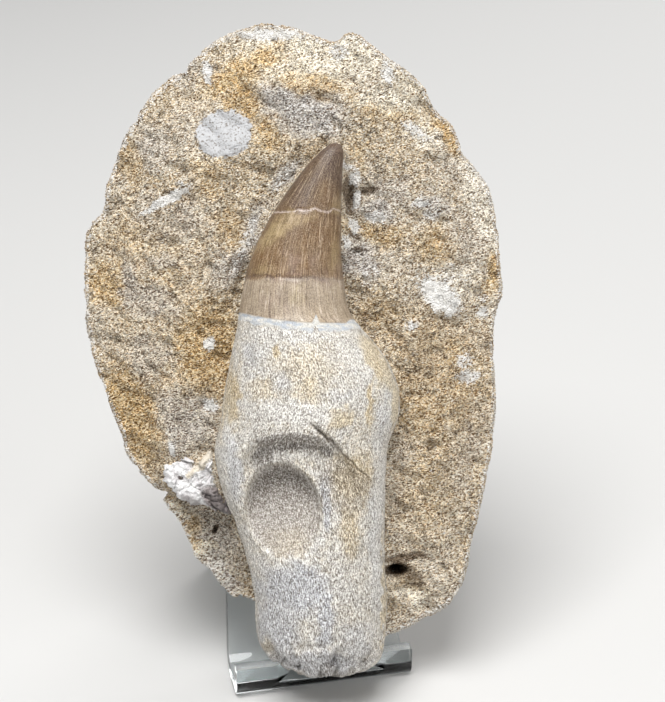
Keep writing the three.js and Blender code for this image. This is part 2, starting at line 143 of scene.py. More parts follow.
# patches: x, y, half width, half height, turn in degrees, strength
# pitted bone with dark pores; over the brow its darkening is also painted shade under the recess's
# overhang
PITTED_AND_SHADED = [
    (-10.5, 61.3, 9.5, 2.6, 0, 1), (-17.5, 57.8, 3, 2.8, 45, 1), (-1.6, 59, 2.4, 1.4, -40, 0.9),
    (-14.5, 54, 6, 2.2, 15, 0.6), (5, 22, 6, 18, 0, 0.45), (-1.4, 3, 2.2, 3, 0, 0.9),
    (2.5, 49.5, 8.5, 8.5, 0, 0.75),
]
TOOTH_TINTS = {
    "bluish": [
        (10.6, 40, 1.2, 24, 0, 0.4), (-1.6, 45.5, 1.3, 5.5, 4, 1), (-9.5, 24, 9.5, 7, 5, 1),
        (-1.9, 17.5, 2, 9, 0, 1), (-14, 14, 5.5, 9, 0, 0.8), (-25, 55, 2.2, 9, 8, 0.7),
        (12.6, 67, 1.4, 6, 0, 0.5), (-20, 83, 3, 5, 0, 0.5), (-11.5, 76, 2.2, 2.6, 0, 0.6),
        (1.5, 73.5, 4, 2, 0, 0.4), (6, 10, 5, 6, 0, 0.5), (-4, 5, 13, 4.5, 0, 0.8),
    ],
    "tan": [
        (-27.3, 72, 2, 9, -8, 0.8), (-24.8, 71.5, 1.6, 7, -4, 0.9), (2.4, 67, 3.4, 2.2, 25, 0.8),
        (9.6, 71, 0.9, 6.5, 0, 0.8), (11.5, 80.5, 2.4, 8, 28, 1), (16, 70, 1.3, 8, 0, 0.9),
        (5, 52, 5.5, 7, 0, 0.7), (4.5, 40, 3, 9, 0, 0.6), (13.4, 22, 0.8, 17, 0, 1),
        (-12, 36.5, 6.5, 4, 5, 0.35), (-16.5, 9, 2, 2.4, 0, 0.6), (-10, 3, 3, 1.6, 0, 0.5),
        (-13.8, 83.5, 0.9, 2, 0, 0.8), (-6, 80, 9, 5, 0, 0.35), (-6.5, 74.5, 4.5, 3.5, 0, 0.5),
        (-17.5, 75, 4, 3, 0, 0.4),
    ],
    # pale bone in bands, and painted highlight on the root's left and right edges, its upper right
    # shoulder and the ring between the brow and the pit
    "pale_and_highlit": [
        (-8, 68.3, 12, 3, -3, 0.9), (-10.5, 88, 12, 2, -4, 0.9), (3, 77, 4, 5, 0, 0.4),
        (-16, 57.2, 4.5, 1.2, 35, 0.6), (12.8, 38, 2.6, 24, 0, 1), (14.8, 70, 2.4, 12, 8, 0.9),
        (-26.5, 60, 2.6, 16, 5, 0.8), (6, 82, 7, 7, 0, 0.6), (-11, 57.8, 4.5, 0.9, 0, 0.7),
        (-4.6, 54.5, 3, 0.9, -50, 0.7),
    ],
    "straw": [
        (-14.6, 113.6, 5, 1.8, 33, 0.9), (-9.6, 116.9, 5.5, 1.6, 12, 0.55),
        (-8.6, 97.6, 1.6, 2.4, 0, 0.5), (-17.5, 104.4, 3, 1.2, 0, 0.5),
        (0.6, 108.5, 1.4, 4, 0, 0.5), (1.2, 121.5, 1.2, 2.5, 0, 0.6),
    ],
    "gold": [
        (-1.4, 123.4, 3.4, 3.4, 0, 1), (-16, 107.8, 4.6, 3.6, 10, 0.9), (-3, 114.6, 5, 4, 0, 0.9),
        (-9.8, 109.4, 4, 3, 35, 0.7), (-5, 129.5, 1.6, 3.2, -35, 0.5), (-8, 105, 3, 2.4, 0, 0.5),
    ],
    "mauve": [
        (-9.8, 105.6, 1.6, 4.4, 0, 1), (-5.2, 105, 1.2, 4, 0, 0.9), (-4, 101.6, 7.5, 1.7, 0, 1),
        (-13, 102, 3.4, 0.9, 0, 0.8), (0.2, 103.5, 2.6, 3, 0, 0.5), (0.8, 129.5, 1.6, 6.5, 4, 1),
        (-9, 123, 2.6, 4, -30, 0.7), (-2.6, 133.6, 3, 2, 30, 0.6), (-13.5, 96, 5, 3.4, 0, 0.5),
    ],
}


def ease(value, low, high):
    """0 below low, 1 above high, smooth between."""
    t = np.clip((value - low) / (high - low), 0, 1)
    return t * t * (3 - 2 * t)


def along(rows, position):
    """A smooth curve through rows of (position, values...), read at many positions."""
    rows = np.array(rows, float)
    at, values = rows[:, 0], rows[:, 1:]
    before, after = np.r_[0, 0 : len(at) - 1], np.r_[1 : len(at), len(at) - 1]
    slope = (values[after] - values[before]) / (at[after] - at[before])[:, None]
    i = np.clip(np.searchsorted(at, position, "right") - 1, 0, len(at) - 2)
    span = at[i + 1] - at[i]
    t = np.clip((position - at[i]) / span, 0, 1)[:, None]
    span = span[:, None]
    return (
        (2 * t**3 - 3 * t**2 + 1) * values[i]
        + (t**3 - 2 * t**2 + t) * slope[i] * span
        + (3 * t**2 - 2 * t**3) * values[i + 1]
        + (t**3 - t**2) * slope[i + 1] * span
    )


def grain(points, size, octaves=1, stretch=(1, 1, 1), shift=0.0):
    """Smooth noise about 0, as wide as size in millimetres, longer where stretch is more than 1."""
    scaled = points.reshape(-1, 3) / (np.array(stretch) * size) + shift
    if octaves == 1:
        found = [noise.noise(Vector(p)) for p in scaled]
    else:
        found = [noise.fractal(Vector(p), 0.9, 2.1, octaves) for p in scaled]
    return np.array(found).reshape(points.shape[:-1])


def strayed(x, y, points, size, octaves, shifts, by):
    """Places a little off, so that what is cut or laid there has an uneven edge."""
    return [
        place + grain(points, size, octaves, shift=shift) * far
        for place, shift, far in zip((x, y), shifts, by)
    ]


def wander(x, y):
    """Places as a crack wanders."""
    return strayed(x, y, np.stack([x, y, 0 * x], -1), 2.2, 2, (5.5, 8.5), (0.5, 0.5))


def stroke(x, y, cut):
    """Depth of a cut at many places."""
    depth = np.zeros_like(x)
    for (ax, ay, wa, da), (bx, by, wb, db) in zip(cut, cut[1:]):
        t = ((x - ax) * (bx - ax) + (y - ay) * (by - ay)) / ((bx - ax) ** 2 + (by - ay) ** 2)
        t = np.clip(t, 0, 1)
        off = np.hypot(x - ax - t * (bx - ax), y - ay - t * (by - ay)) / (wa + t * (wb - wa))
        depth = np.maximum(depth, (da + t * (db - da)) * (1 - ease(off, 0.0, 1.0)))
    return depth


def even(route, half_width, depth):
    """A cut as wide and as deep all along a route."""
    return [(*point, half_width, depth) for point in route]


def patches(x, y, rows, softness):
    """How much of each point the patches cover, from 1 well inside to 0 outside."""
    cover = np.zeros_like(x)
    for mx, my, sx, sy, turn, strength in rows:
        c, s = math.cos(math.radians(turn)), math.sin(math.radians(turn))
        reach = np.hypot(((x - mx) * c + (y - my) * s) / sx, ((y - my) * c - (x - mx) * s) / sy)
        cover = np.maximum(cover, strength * (1 - ease(reach, 1 - softness, 1 + softness)))
    return cover


def pit_reach(x, y):
    """0 in the middle of the pit and 1 at its edge, and how far up it a point is."""
    (mx, my), (sx, sy), turn = PIT["middle"], PIT["size"], PIT["turn"]
    across = ((x - mx) * math.cos(turn) + (y - my) * math.sin(turn)) / sx
    upward = ((y - my) * math.cos(turn) - (x - mx) * math.sin(turn)) / sy
    return np.hypot(across, upward), upward


def root_relief(x, y):
    """How far the root's front stands back from its smooth form."""
    (mx, my), (sx, sy), power = RECESS["middle"], RECESS["size"], RECESS["squareness"]
    reach = (np.abs((x - mx) / sx) ** power + np.abs((y - my) / sy) ** power) ** (1 / power)
    recess = RECESS["depth"] * ease(y, *RECESS["fade"]) * ease(x, *LEFT_FLANGE)
    recess *= 1 - ease(reach, 0.85, 1.0)
    # the recess stops at the gash and grows shallow below it, towards the root's right side
    (ax, ay, *_), (bx, by, *_) = GASH[1], GASH[-1]
    above = ((y - ay) * (bx - ax) - (x - ax) * (by - ay)) / math.hypot(bx - ax, by - ay)
    recess *= 1 - ease(above, -0.8, 0.4) * ease(x, -8, -3)
    recess *= 1 - ease(x, -4, 11) * ease(above, -9.0, -2.0) * 0.75
    # the pit has a sharp upper edge and a floor that rises to its lower end
    reach, upward = pit_reach(x, y)
    floor = PIT["shallow"] + (PIT["deep"] - PIT["shallow"]) * ease(upward, -1, 0.7)
    pit = floor * (1 - np.minimum(reach, 1) ** (3.4 + 3 * ease(upward, -0.2, 0.8))) ** 0.75
    return recess + pit + sum(stroke(*wander(x, y), cut) for cut in ROOT_CRACKS)


def back_roundness(y):
    """How round the tooth's back is: 2 makes an ellipse, and less makes a keel."""
    return 1.5 + 0.5 * ease(y, 10, 34)


def tooth_rings(heights, turns, relief):
    """Rings of the tooth from its root's end to its tip, in millimetres."""
    left, right, back, front = along(TOOTH_ROWS, heights).T[:, :, None]
    up = heights[:, None]
    front_power = 2 / np.where(up < CROWN_BASE, ROOT_ROUNDNESS, CROWN_ROUNDNESS)
    c, s = np.cos(turns)[None, :], np.sin(turns)[None, :]
    power = np.where(s < 0, 2 / back_roundness(up), front_power)
    x = (left + right) / 2 + (right - left) / 2 * np.sign(c) * np.abs(c) ** power
    z = (back + front) / 2 + (front - back) / 2 * np.sign(s) * np.abs(s) ** power
    y = np.broadcast_to(up, x.shape)
    if relief:
        z = z - ease(s, 0.1, 0.5) * root_relief(x, y)
    return np.stack([x, y, z], axis=-1)


TILT = np.array(Matrix.Rotation(math.pi / 2 - LEAN, 3, "X"))
half_turn = np.linspace(0, math.pi, 33)
plain = tooth_rings(np.linspace(LOWEST, HIGHEST, 400), np.r_[half_turn, half_turn + math.pi], False)
plain = np.vstack([plain.reshape(-1, 3), ROOT_END, CROWN_TIP]) @ TILT.T / 1000
tooth_low, tooth_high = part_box("tooth")
# where the fossil's own frame stands in the part's frame, from where the tooth is
ORIGIN = (np.array(tooth_low + tooth_high) - plain.min(0) - plain.max(0)) / 2


def lay(points):
    """Points of the fossil's own frame, in millimetres, brought to the part's frame."""
    return np.asarray(points).reshape(-1, 3) @ TILT.T / 1000 + ORIGIN


def placed(name, mesh):
    """A new object in the scene."""
    piece = bpy.data.objects.new(name, mesh)
    bpy.context.scene.collection.objects.link(piece)
    return piece


def skin(name, start, rings, end):
    """A closed skin over rings of points, with a point at each end."""
    levels, count = rings.shape[:2]
    ring = np.arange(levels * count).reshape(levels, count) + 1
    turned = np.roll(ring, -1, axis=1)
    quads = np.stack([ring[:-1], ring[1:], turned[1:], turned[:-1]], -1).reshape(-1, 4)
    last = levels * count + 1
    caps = [(0, a, b) for a, b in zip(ring[0], turned[0])]
    caps += [(last, b, a) for a, b in zip(ring[-1], turned[-1])]
    mesh = bpy.data.meshes.new(name)
    points = lay(np.vstack([[start], rings.reshape(-1, 3), [end]]))
    mesh.from_pydata(points.tolist(), [], quads.tolist() + caps)
    mesh.shade_smooth()
    return placed(name, mesh)


def mark(piece, name, values, start=0.0, end=0.0):
    """Stores one value at each point of a skin."""
    attribute = piece.data.attributes.new(name, "FLOAT", "POINT")
    attribute.data.foreach_set("value", np.r_[start, np.ravel(values), end].astype(np.float32))


front_turns = np.linspace(0, math.pi, FRONT_COLUMNS, endpoint=False)
back_turns = np.linspace(math.pi, 2 * math.pi, BACK_COLUMNS, endpoint=False)
turns = np.r_[front_turns, back_turns]
heights = np.r_[LOWEST, 1.4, np.linspace(2.0, 134.6, LEVELS), 135.4, HIGHEST]
rings = tooth_rings(heights, turns, relief=True)
x, y = rings[..., 0], rings[..., 1]
outward = np.stack([np.cos(turns), np.zeros_like(turns), np.sin(turns)], -1)
# where a point is round the tooth and up it: fibres and striae follow this, and meet at the tip
grown = outward[None] * NOMINAL_RADIUS + np.array([0, 1, 0]) * heights[:, None, None]
# the enamel's edge sags to the left, and has a notch near its middle
enamel_edge = ENAMEL_EDGE + 2.6 * (np.minimum(x + 2, 0) / 21) ** 2 + ease(x, 3.2, 4.6)
enamel_edge = enamel_edge + 2.2 * np.maximum(1 - np.abs(x + 4.1) / 0.9, 0)
above_edge = y - enamel_edge
is_root = 1 - ease(above_edge, -0.6, 0.2)
in_pit, up_pit = pit_reach(x, y)
fibres = grain(grown, 0.7, stretch=(1, 3.2, 1)) * 0.14 + grain(grown, 1.5, 2, (1, 2.4, 1)) * 0.16
fibres = fibres * (1 - 0.7 * (in_pit < 0.95))
pitted_and_shaded = patches(x, y, PITTED_AND_SHADED, 0.5)
pores = np.minimum(grain(rings, 1.15, 2, shift=3.1) + 0.12, 0) * pitted_and_shaded
swells = grain(rings, 9.0, 2) * 0.35
lobes = np.minimum(grain(rings, 4.2, 3) * 3.2, 0.4) * (1 - ease(y, *ROOT_LOBES))
striae = grain(grown, 0.9, stretch=(1, 14, 1)) * 0.05
from_pale, from_dark = (y - np.interp(x, *np.transpose(line)) for line in (PALE_BREAK, DARK_BREAK))
broken = sum(0.25 * (1 - ease(np.abs(off), 0.1, 0.5)) for off in (from_pale, from_dark))
bulge = is_root * (fibres + swells + lobes + pores * 1.1 - 0.15)
bulge = bulge + (1 - is_root) * (striae - broken * (np.sin(turns) > 0))
bulge = bulge + 0.15 * is_root * (above_edge > -2.2)
rings = rings + outward[None] * np.minimum(bulge, 0.0)[..., None]
notches = np.maximum(grain(rings, 2.2, 2, (1, 4, 1.6), 1.9) + 0.1, 0)
rings[..., 1] += np.minimum(3.6 * notches, 2.2) * (1 - ease(y, 1.0, 6.0))
tooth = skin("tooth_root_and_crown", ROOT_END, rings, CROWN_TIP)
facing = ease(np.sin(turns), 0.0, 0.3) + 0 * x
warped = strayed(x, y, rings, 3.0, 2, (0.3, 6.1), (1.4, 2.24))
covers = {name: patches(*warped, rows, 0.6) for name, rows in TOOTH_TINTS.items()}
# painted shade along the gash and the crack beside it
painted_crack_shade = [[(*place, width * 0.9, 1.0) for *place, width, _ in cut] for cut in ROOT_CRACKS[:2]]
on_front = {
    "bluish": covers["bluish"],
    "tan": covers["tan"],
    # pale bone, with painted highlight on the root's edges, the ring above the pit and the pit's lip
    "pale_and_highlit": np.maximum(covers["pale_and_highlit"], stroke(*warped, even(PIT_LIP_HIGHLIGHT, 1.5, 1.3))),
    # pitted bone, and painted shade over the brow
    "pitted_and_shaded": pitted_and_shaded,
    # the pit's floor: worn smoother, and painted darker as shade in the hollow
    "worn_and_shaded": (1 - ease(in_pit, 0.88, 0.98)) * ease(up_pit, -1.6, -0.2),
    # painted shade, deepest under the pit's top wall
    "pit_shade": (1 - ease(in_pit, 0.8, 1.0)) * ease(up_pit, -0.95, 0.75),
    "painted_crack_shade": sum(stroke(*wander(x, y), cut) for cut in painted_crack_shade),
}
for name, values in on_front.items():
    mark(tooth, name, values * facing)
for name in ("straw", "gold", "mauve"):
    mark(tooth, name, covers[name])
mark(tooth, "hairline", sum(stroke(x, y, even(route, 0.22, 1.0)) for route in HAIRLINES))
mark(tooth, "above_edge", above_edge, -90, 45)
mark(tooth, "from_pale_break", from_pale, -120, 20)
mark(tooth, "from_dark_break", from_dark, -100, 35)
attribute = tooth.data.attributes.new("grown", "FLOAT_VECTOR", "POINT")
ends = [(0, 0, 0), *grown.reshape(-1, 3), (0, CROWN_TIP[1], 0)]
attribute.data.foreach_set("vector", np.ravel(ends).astype(np.float32))


def put(tree, kind, inputs=None, **settings):
    """A new node with its settings, its inputs either set or linked."""
    made = tree.nodes.new(kind)
    for name, value in settings.items():
        setattr(made, name, value)
    for name, value in (inputs or {}).items():
        if isinstance(value, bpy.types.NodeSocket):
            tree.links.new(value, made.inputs[name])
        else:
            made.inputs[name].default_value = value
    return made


def home(*values):
    """The tree of nodes that the first socket among some values is in."""
    return next(value.id_data for value in values if isinstance(value, bpy.types.NodeSocket))


def calc(operation, *values):
    """The result of a Math node."""
    return put(home(*values), "ShaderNodeMath", dict(enumerate(values)), operation=operation).outputs[0]


def plus(one, other):
    """The sum of two values."""
    return calc("ADD", one, other)


def times(one, other):
    """The product of two values."""
    return calc("MULTIPLY", one, other)


def scaled(value, factor, start):
    """A value times a factor, plus a start."""
    return calc("MULTIPLY_ADD", value, factor, start)


def ruffled(value, roughness, width):
    """A value moved up and down by a noise, over a width in all."""
    return plus(value, scaled(roughness, width, -width / 2))


def off_middle(value):
    """How far a noise is from its middle, which draws thin lines."""
    return calc("ABSOLUTE", calc("SUBTRACT", value, 0.5))


def fade(value, low, high, start=0.0, end=1.0):
    """start where value is below low, end where it is above high, smooth between."""
    inputs = {"Value": value, "From Min": low, "From Max": high, "To Min": start, "To Max": end}
    made = put(home(value), "ShaderNodeMapRange", inputs, interpolation_type="SMOOTHSTEP")
    return made.outputs["Result"]


def mapped(place, scale=(1, 1, 1), turn=0.0):
    """Coordinates stretched, and turned about the axis out of the slab's face."""
    inputs = {"Vector": place, "Rotation": (0, 0, turn), "Scale": scale}
    return put(home(place), "ShaderNodeMapping", inputs).outputs[0]


def speckle(place, size, detail=2.0, roughness=0.5, stretch=(1, 1, 1), twist=0.0):
    """Noise from 0 to 1, as wide as size in millimetres, longer where stretch is more than 1."""
    near = mapped(place, [1 / (size * k) for k in stretch])
    inputs = {"Vector": near, "Scale": 1.0, "Detail": detail, "Roughness": roughness}
    inputs["Distortion"] = twist
    return put(home(place), "ShaderNodeTexNoise", inputs).outputs[0]


def cells(place, scale):
    """How far a place is from the middle of its cell, and the cell's own colour in three parts."""
    made = put(home(place), "ShaderNodeTexVoronoi", {"Vector": mapped(place, scale), "Scale": 1.0})
    parts = put(home(place), "ShaderNodeSeparateColor", {"Color": made.outputs["Color"]})
    return made.outputs["Distance"], parts.outputs


def colour(*levels):
    """A colour given as red, green and blue from 0 to 255 as it looks, made linear."""
    linear = [((c / 255 + 0.055) / 1.055) ** 2.4 if c > 10 else c / 255 / 12.92 for c in levels]
    return (*linear, 1.0)


def tint(share, under, over, blend="MIX"):
    """One colour laid over another by share."""
    inputs = {0: share, 6: under, 7: over}
    made = put(home(share, under), "ShaderNodeMix", inputs, data_type="RGBA", blend_type=blend)
    return made.outputs[2]


def layers(under, *rows):
    """A colour with others laid over it in turn, each by its share."""
    for share, look, *blend in rows:
        under = tint(share, under, colour(*look), *blend)
    return under


def shade(under, factor):
    """A colour made darker or lighter by a factor."""
    grey = put(home(factor), "ShaderNodeCombineColor", dict.fromkeys(("Red", "Green", "Blue"), factor))
    return tint(1.0, under, grey.outputs[0], "MULTIPLY")


def bench_place(tree):
    """The fossil's own frame, in millimetres, read from the object's coordinates."""
    place = put(tree, "ShaderNodeTexCoord").outputs["Object"]
    inputs = {"Vector": place, "Location": ORIGIN, "Rotation": (math.pi / 2 - LEAN, 0, 0)}
    inputs["Scale"] = (0.001, 0.001, 0.001)
    return put(tree, "ShaderNodeMapping", inputs, vector_type="TEXTURE").outputs[0]


def material(name):
    """A new material, its node tree and its one shader."""
    made = bpy.data.materials.new(name)
    made.use_nodes = True
    return made, made.node_tree, made.node_tree.nodes["Principled BSDF"]


def mask(tree, name):
    """A value that the mesh holds at its points."""
    return put(tree, "ShaderNodeAttribute", attribute_name=name).outputs["Fac"]


def bumped(tree, shader, height, distance, strength=1.0):
    """Gives a shader a bump as high as distance, in metres."""
    bump = put(tree, "ShaderNodeBump", {"Height": height, "Distance": distance, "Strength": strength})
    tree.links.new(bump.outputs["Normal"], shader.inputs["Normal"])


tooth_look, tree, shader = material("tooth_enamel_and_root")
place = bench_place(tree)
across, up, _ = put(tree, "ShaderNodeSeparateXYZ", {"Vector": place}).outputs
fibre_place = put(tree, "ShaderNodeAttribute", attribute_name="grown").outputs["Vector"]
tan, bluish, worn_and_shaded, pitted_and_shaded = (mask(tree, name) for name in ("tan", "bluish", "worn_and_shaded", "pitted_and_shaded"))
# root: cream bone, bluish where it is densest, with dark pores drawn out along its length
clouds = speckle(place, 5.0, 4.0, 0.6)
stripes = speckle(fibre_place, 0.6, 3.0, 0.6, (1, 16, 1))
cracks = speckle(fibre_place, 1.3, 2.0, 0.5, (1, 5, 1))
fine_pores = speckle(place, 0.2, 0.0, 0.5)
short, long = (speckle(fibre_place, 0.2, 1.0, 0.5, (1, length, 1)) for length in (3.4, 4.8))
low_down = times(fade(up, 70, 40), scaled(worn_and_shaded, -0.9, 1.0))
fibres = put(tree, "ShaderNodeMix", {0: low_down, 2: short, 3: long}).outputs[0]
fibres = calc("MULTIPLY_ADD", calc("SUBTRACT", fibres, 0.5), scaled(low_down, 0.4, 1.0), 0.5)
distance, cell = cells(fibre_place, (3.4, 1.2, 3.4))
pores = calc("SUBTRACT", distance, plus(fade(cell["Red"], 0, 1, 0.05, 0.36), times(pitted_and_shaded, 0.1)))
root = tint(fade(clouds, 0.38, 0.62), colour(228, 216, 194), colour(222, 217, 208))
root = layers(
    root,
    (fade(tan, 0, 0.9, 0, 0.9), (210, 187, 144)),
    (fade(bluish, 0, 1, 0, 0.85), (188, 190, 198)),
    # pale bone, and painted highlight on the root's edges, its shoulder, the ring above the pit and the
    # pit's lip
    (fade(mask(tree, "pale_and_highlit"), 0, 1, 0, 0.8), (246, 243, 238)),
)
root = shade(root, fade(stripes, 0.3, 0.7, 0.74, 1.08))
root = shade(root, scaled(low_down, 0.05, 1.0))
root = layers(
    root,
    (fade(off_middle(cracks), 0.016, 0.004, 0, 0.6), (110, 100, 90)),
    # painted shade: the worn pit darker, and darker still under its top wall
    (times(worn_and_shaded, 0.85), (176, 166, 156)),
    (times(mask(tree, "pit_shade"), 0.95), (80, 66, 55)),
    # pitted bone darkened, which over the brow is painted shade under its overhang
    (fade(pitted_and_shaded, 0.3, 1, 0.1, 0.95), (78, 66, 57)),
    (times(fade(fibres, 0.51, 0.62, 0, 0.75), scaled(worn_and_shaded, -0.4, 1)), (255, 252, 246)),
    (fade(fibres, 0.49, 0.38, 0, 0.8), (104, 94, 82)),
    (fade(fine_pores, 0.52, 0.66, 0, 0.6), (255, 252, 246)),
    (fade(fine_pores, 0.48, 0.36, 0, 0.66), (96, 86, 76)),
    (times(fade(pores, 0.08, -0.08), scaled(worn_and_shaded, -0.2, 0.6)), (92, 80, 68)),
    # painted shade along the gash and the crack beside it
    (fade(ruffled(mask(tree, "painted_crack_shade"), fine_pores, 0.5), 0.3, 0.95, 0, 0.55), (110, 96, 82)),
    (fade(tan, 0, 0.9, 0, 0.9), (252, 242, 220), "MULTIPLY"),
    (fade(bluish, 0, 1, 0, 0.9), (246, 249, 255), "MULTIPLY"),
)
# crown: brown enamel, darker and greyer to the tip, with fine pale striae
striae = speckle(fibre_place, 0.42, 2.0, 0.6, (1, 16, 1))
hairs = speckle(fibre_place, 0.8, 1.0, 0.5, (1, 18, 1))
bands = speckle(fibre_place, 0.5, 2.0, 0.6, (10, 1, 10))
blotches = speckle(place, 3.0, 4.0, 0.6, (1, 1.6, 1))
zone = ruffled(up, blotches, 24)
above_dark_break = fade(ruffled(up, blotches, 3.6), 101.6, 103.0)
enamel = tint(above_dark_break, colour(168, 151, 130), colour(120, 95, 66))
enamel = layers(
    enamel,
    (fade(zone, 108, 119), (100, 75, 50)),
    (fade(zone, 116, 127), (84, 63, 50)),
    (fade(zone, 124, 134), (80, 59, 55)),
    (times(mask(tree, "gold"), 0.8), (114, 84, 46)),
    (times(mask(tree, "straw"), 0.9), (186, 170, 130)),
)
mauve = times(mask(tree, "mauve"), fade(blotches, 0.34, 0.56, 0.2, 1.0))
mauve_look = tint(fade(up, 112, 122), colour(138, 118, 110), colour(80, 58, 58))
enamel = tint(times(mauve, 0.7), enamel, mauve_look)
enamel = shade(enamel, fade(blotches, 0.3, 0.7, 0.86, 1.12))
enamel = shade(enamel, fade(bands, 0.3, 0.7, 0.93, 1.06))
hair = times(fade(off_middle(hairs), 0.02, 0.0, 0, 0.7), fade(blotches, 0.42, 0.52, 0.15, 1))
hairline = times(fade(mask(tree, "hairline"), 0.2, 0.8, 0, 0.5), fade(fine_pores, 0.4, 0.52, 0.1, 1))
enamel = layers(
    enamel,
    (fade(striae, 0.5, 0.7, 0, 0.5), (196, 178, 150)),
    (fade(striae, 0.48, 0.32, 0, 0.65), (78, 56, 38)),
    (fade(fine_pores, 0.5, 0.32, 0, 0.5), (70, 52, 38)),
    (fade(fine_pores, 0.52, 0.7, 0, 0.35), (222, 208, 188)),
    (hair, (226, 212, 194)),
    (hairline, (226, 210, 188)),
    (above_dark_break, (241, 232, 219), "MULTIPLY"),
)
enamel = shade(enamel, fade(up, 118, 124, 1.0, 0.86))
crumbs = speckle(place, 0.3, 1.0)
crumbled = ruffled(speckle(place, 0.6, 3.0, 0.7), crumbs, 0.5)
pale_break = calc("ABSOLUTE", ruffled(mask(tree, "from_pale_break"), crumbled, 1.4))
dark_break = calc("ABSOLUTE", ruffled(mask(tree, "from_dark_break"), crumbled, 3.2))
open_break = times(fade(dark_break, 0.5, 0.1, 0, 0.8), fade(across, 0, -5))
enamel = layers(
    enamel,
    (times(fade(pale_break, 0.3, 0.08, 0, 0.9), fade(crumbs, 0.36, 0.5, 0.3, 1)), (206, 190, 180)),
    (times(open_break, fade(crumbs, 0.6, 0.44, 0.2, 1)), (86, 68, 64)),
)
# the enamel ends in a thin edge over a bluish band, which breaks up into the root
ragged = ruffled(mask(tree, "above_edge"), fine_pores, 0.5)
frayed = ruffled(mask(tree, "above_edge"), clouds, 3.2)
banded = fade(speckle(place, 0.9, 3.0, 0.6, (3, 1, 3)), 0.4, 0.6)
collar = tint(banded, colour(184, 192, 202), colour(222, 220, 214))
collar = layers(collar, (fade(fine_pores, 0.46, 0.34, 0, 0.5), (140, 132, 122)))
root = tint(fade(frayed, -2.8, -1.7, 0, 0.85), root, collar)
root = layers(root, (fade(calc("ABSOLUTE", ragged), 0.35, 0.05, 0, 0.5), (168, 150, 128)))
is_enamel = fade(ragged, -0.08, 0.08)
tree.links.new(tint(is_enamel, root, enamel), shader.inputs["Base Color"])
tree.links.new(fade(ragged, -0.1, 0.1, 0.88, 0.36), shader.inputs["Roughness"])
shader.inputs["Specular IOR Level"].default_value = 0.4
deep = plus(fade(pores, -0.2, 0.1, 0, 0.5), times(fibres, 0.8))
height = put(tree, "ShaderNodeMix", {0: is_enamel, 2: deep, 3: times(striae, 0.25)}).outputs[0]
bumped(tree, shader, height, 0.0003, 0.9)
tooth.data.materials.append(tooth_look)
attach(tooth, "root")
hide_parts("tooth")

# ---------------------------------------------------------------- the slab of rock
# Phosphatic sandstone: fish debris, pellets and sand, loosely cemented. The slab was broken out
# round the tooth, so its face and rim are rough. Iron has stained it ochre in patches, and cut
# bones and shells show white in its face.
FACE, BACK = 20.5, 0.9  # heights of the worked face, and of the middle of the back
EASEL_TURN = math.radians(13)  # the back is flattened to suit an easel turned this much
FRONT_EDGE_DROP, BACK_EDGE_RISE = 4.2, 4.6  # the rim is thinner than the middle by these
FLAT_BACK = 26.0  # half width of the back's flat part
SIDE_OVERLAP, FLOOR_GAP = 0.4, 0.3  # how the rock fits the tooth's sides, and its back
GROOVE_DEPTH = 1.1  # scraped along the crown's left side
RIM_INSET = 0.7  # grains stand out of the rim by this
SLAB_SPOKES = 600  # columns of the slab's mesh
SLAB_CENTRE = np.array([-9.0, 88.0])
SLAB_OUTLINE = [  # anticlockwise from the right-hand side
    (44.2, 107.7), (43.7, 115.5), (41.8, 125.6), (37.3, 132.9), (34.6, 135.9), (31.9, 143.1),
    (28.2, 146.6), (25.4, 150.6), (23.8, 154), (18.5, 158.2), (15.4, 160.2), (9.2, 165.4),
    (6.7, 167.3), (3.7, 167.3), (1.2, 165.1), (-3.7, 166.3), (-11, 169.1), (-16.4, 170),
    (-24.1, 168.6), (-27.8, 167.3), (-36.9, 160.8), (-38.7, 158.1), (-44, 154.7), (-49.1, 148.5),
    (-54.9, 139.1), (-58.5, 130.3), (-60.5, 120.5), (-63.7, 117.5), (-65.2, 110.4), (-65, 96.5),
    (-63.9, 86.9), (-59.6, 71.9), (-55.5, 62.4), (-54, 56.5), (-47.5, 48.3), (-43.9, 46.4),
    (-44.8, 43.6), (-39.9, 38), (-35.6, 28.5), (-32.6, 26.3), (-27.1, 19.5), (-20.2, 17.2),
    (-9, 9.8), (3, 7), (13.7, 8.8), (25.9, 14.1), (31.9, 18.1), (35.1, 25.3), (37.7, 37.6),
    (41.9, 56.6), (43.3, 72.3), (42.6, 88), (43.8, 95.9), (44.9, 98.3), (45, 101),
]
DENTS = [  # x, y, half width, half height, depth
    (3.9, 123.4, 2.5, 7, 6.5),  # trench cut beside the crown
    (8.8, 125.2, 3.6, 2.6, 3),
    (4.4, 113.6, 2.6, 1.6, 2),
    (11.6, 115.4, 3, 1.6, 1.2),
    (16.4, 27.6, 3.8, 2.2, 14),  # an animal's boring
    (19.8, 23.4, 5.6, 5.2, 3),
    (-30.6, 37.6, 0.9, 1.4, 4.5),  # a smaller boring
]
STEP_LINE = ((-47.5, 49.6), (-22.0, 42.6))  # below it the rock has broken away
STEP_DROP = 6.5
CRACKS = [
    [(3, 110.4, 0.5, 1), (6.5, 109.6, 0.4, 0.9), (10.6, 110.2, 0.2, 0.2)],
    [(13, 30.4, 0.9, 1.4), (19, 31.4, 0.8, 1.1), (25, 32.8, 0.3, 0.2)],
    [(14, 79.5, 0.3, 0.4), (20, 80.5, 0.5, 0.7), (24.5, 79, 0.2, 0.2)],
]
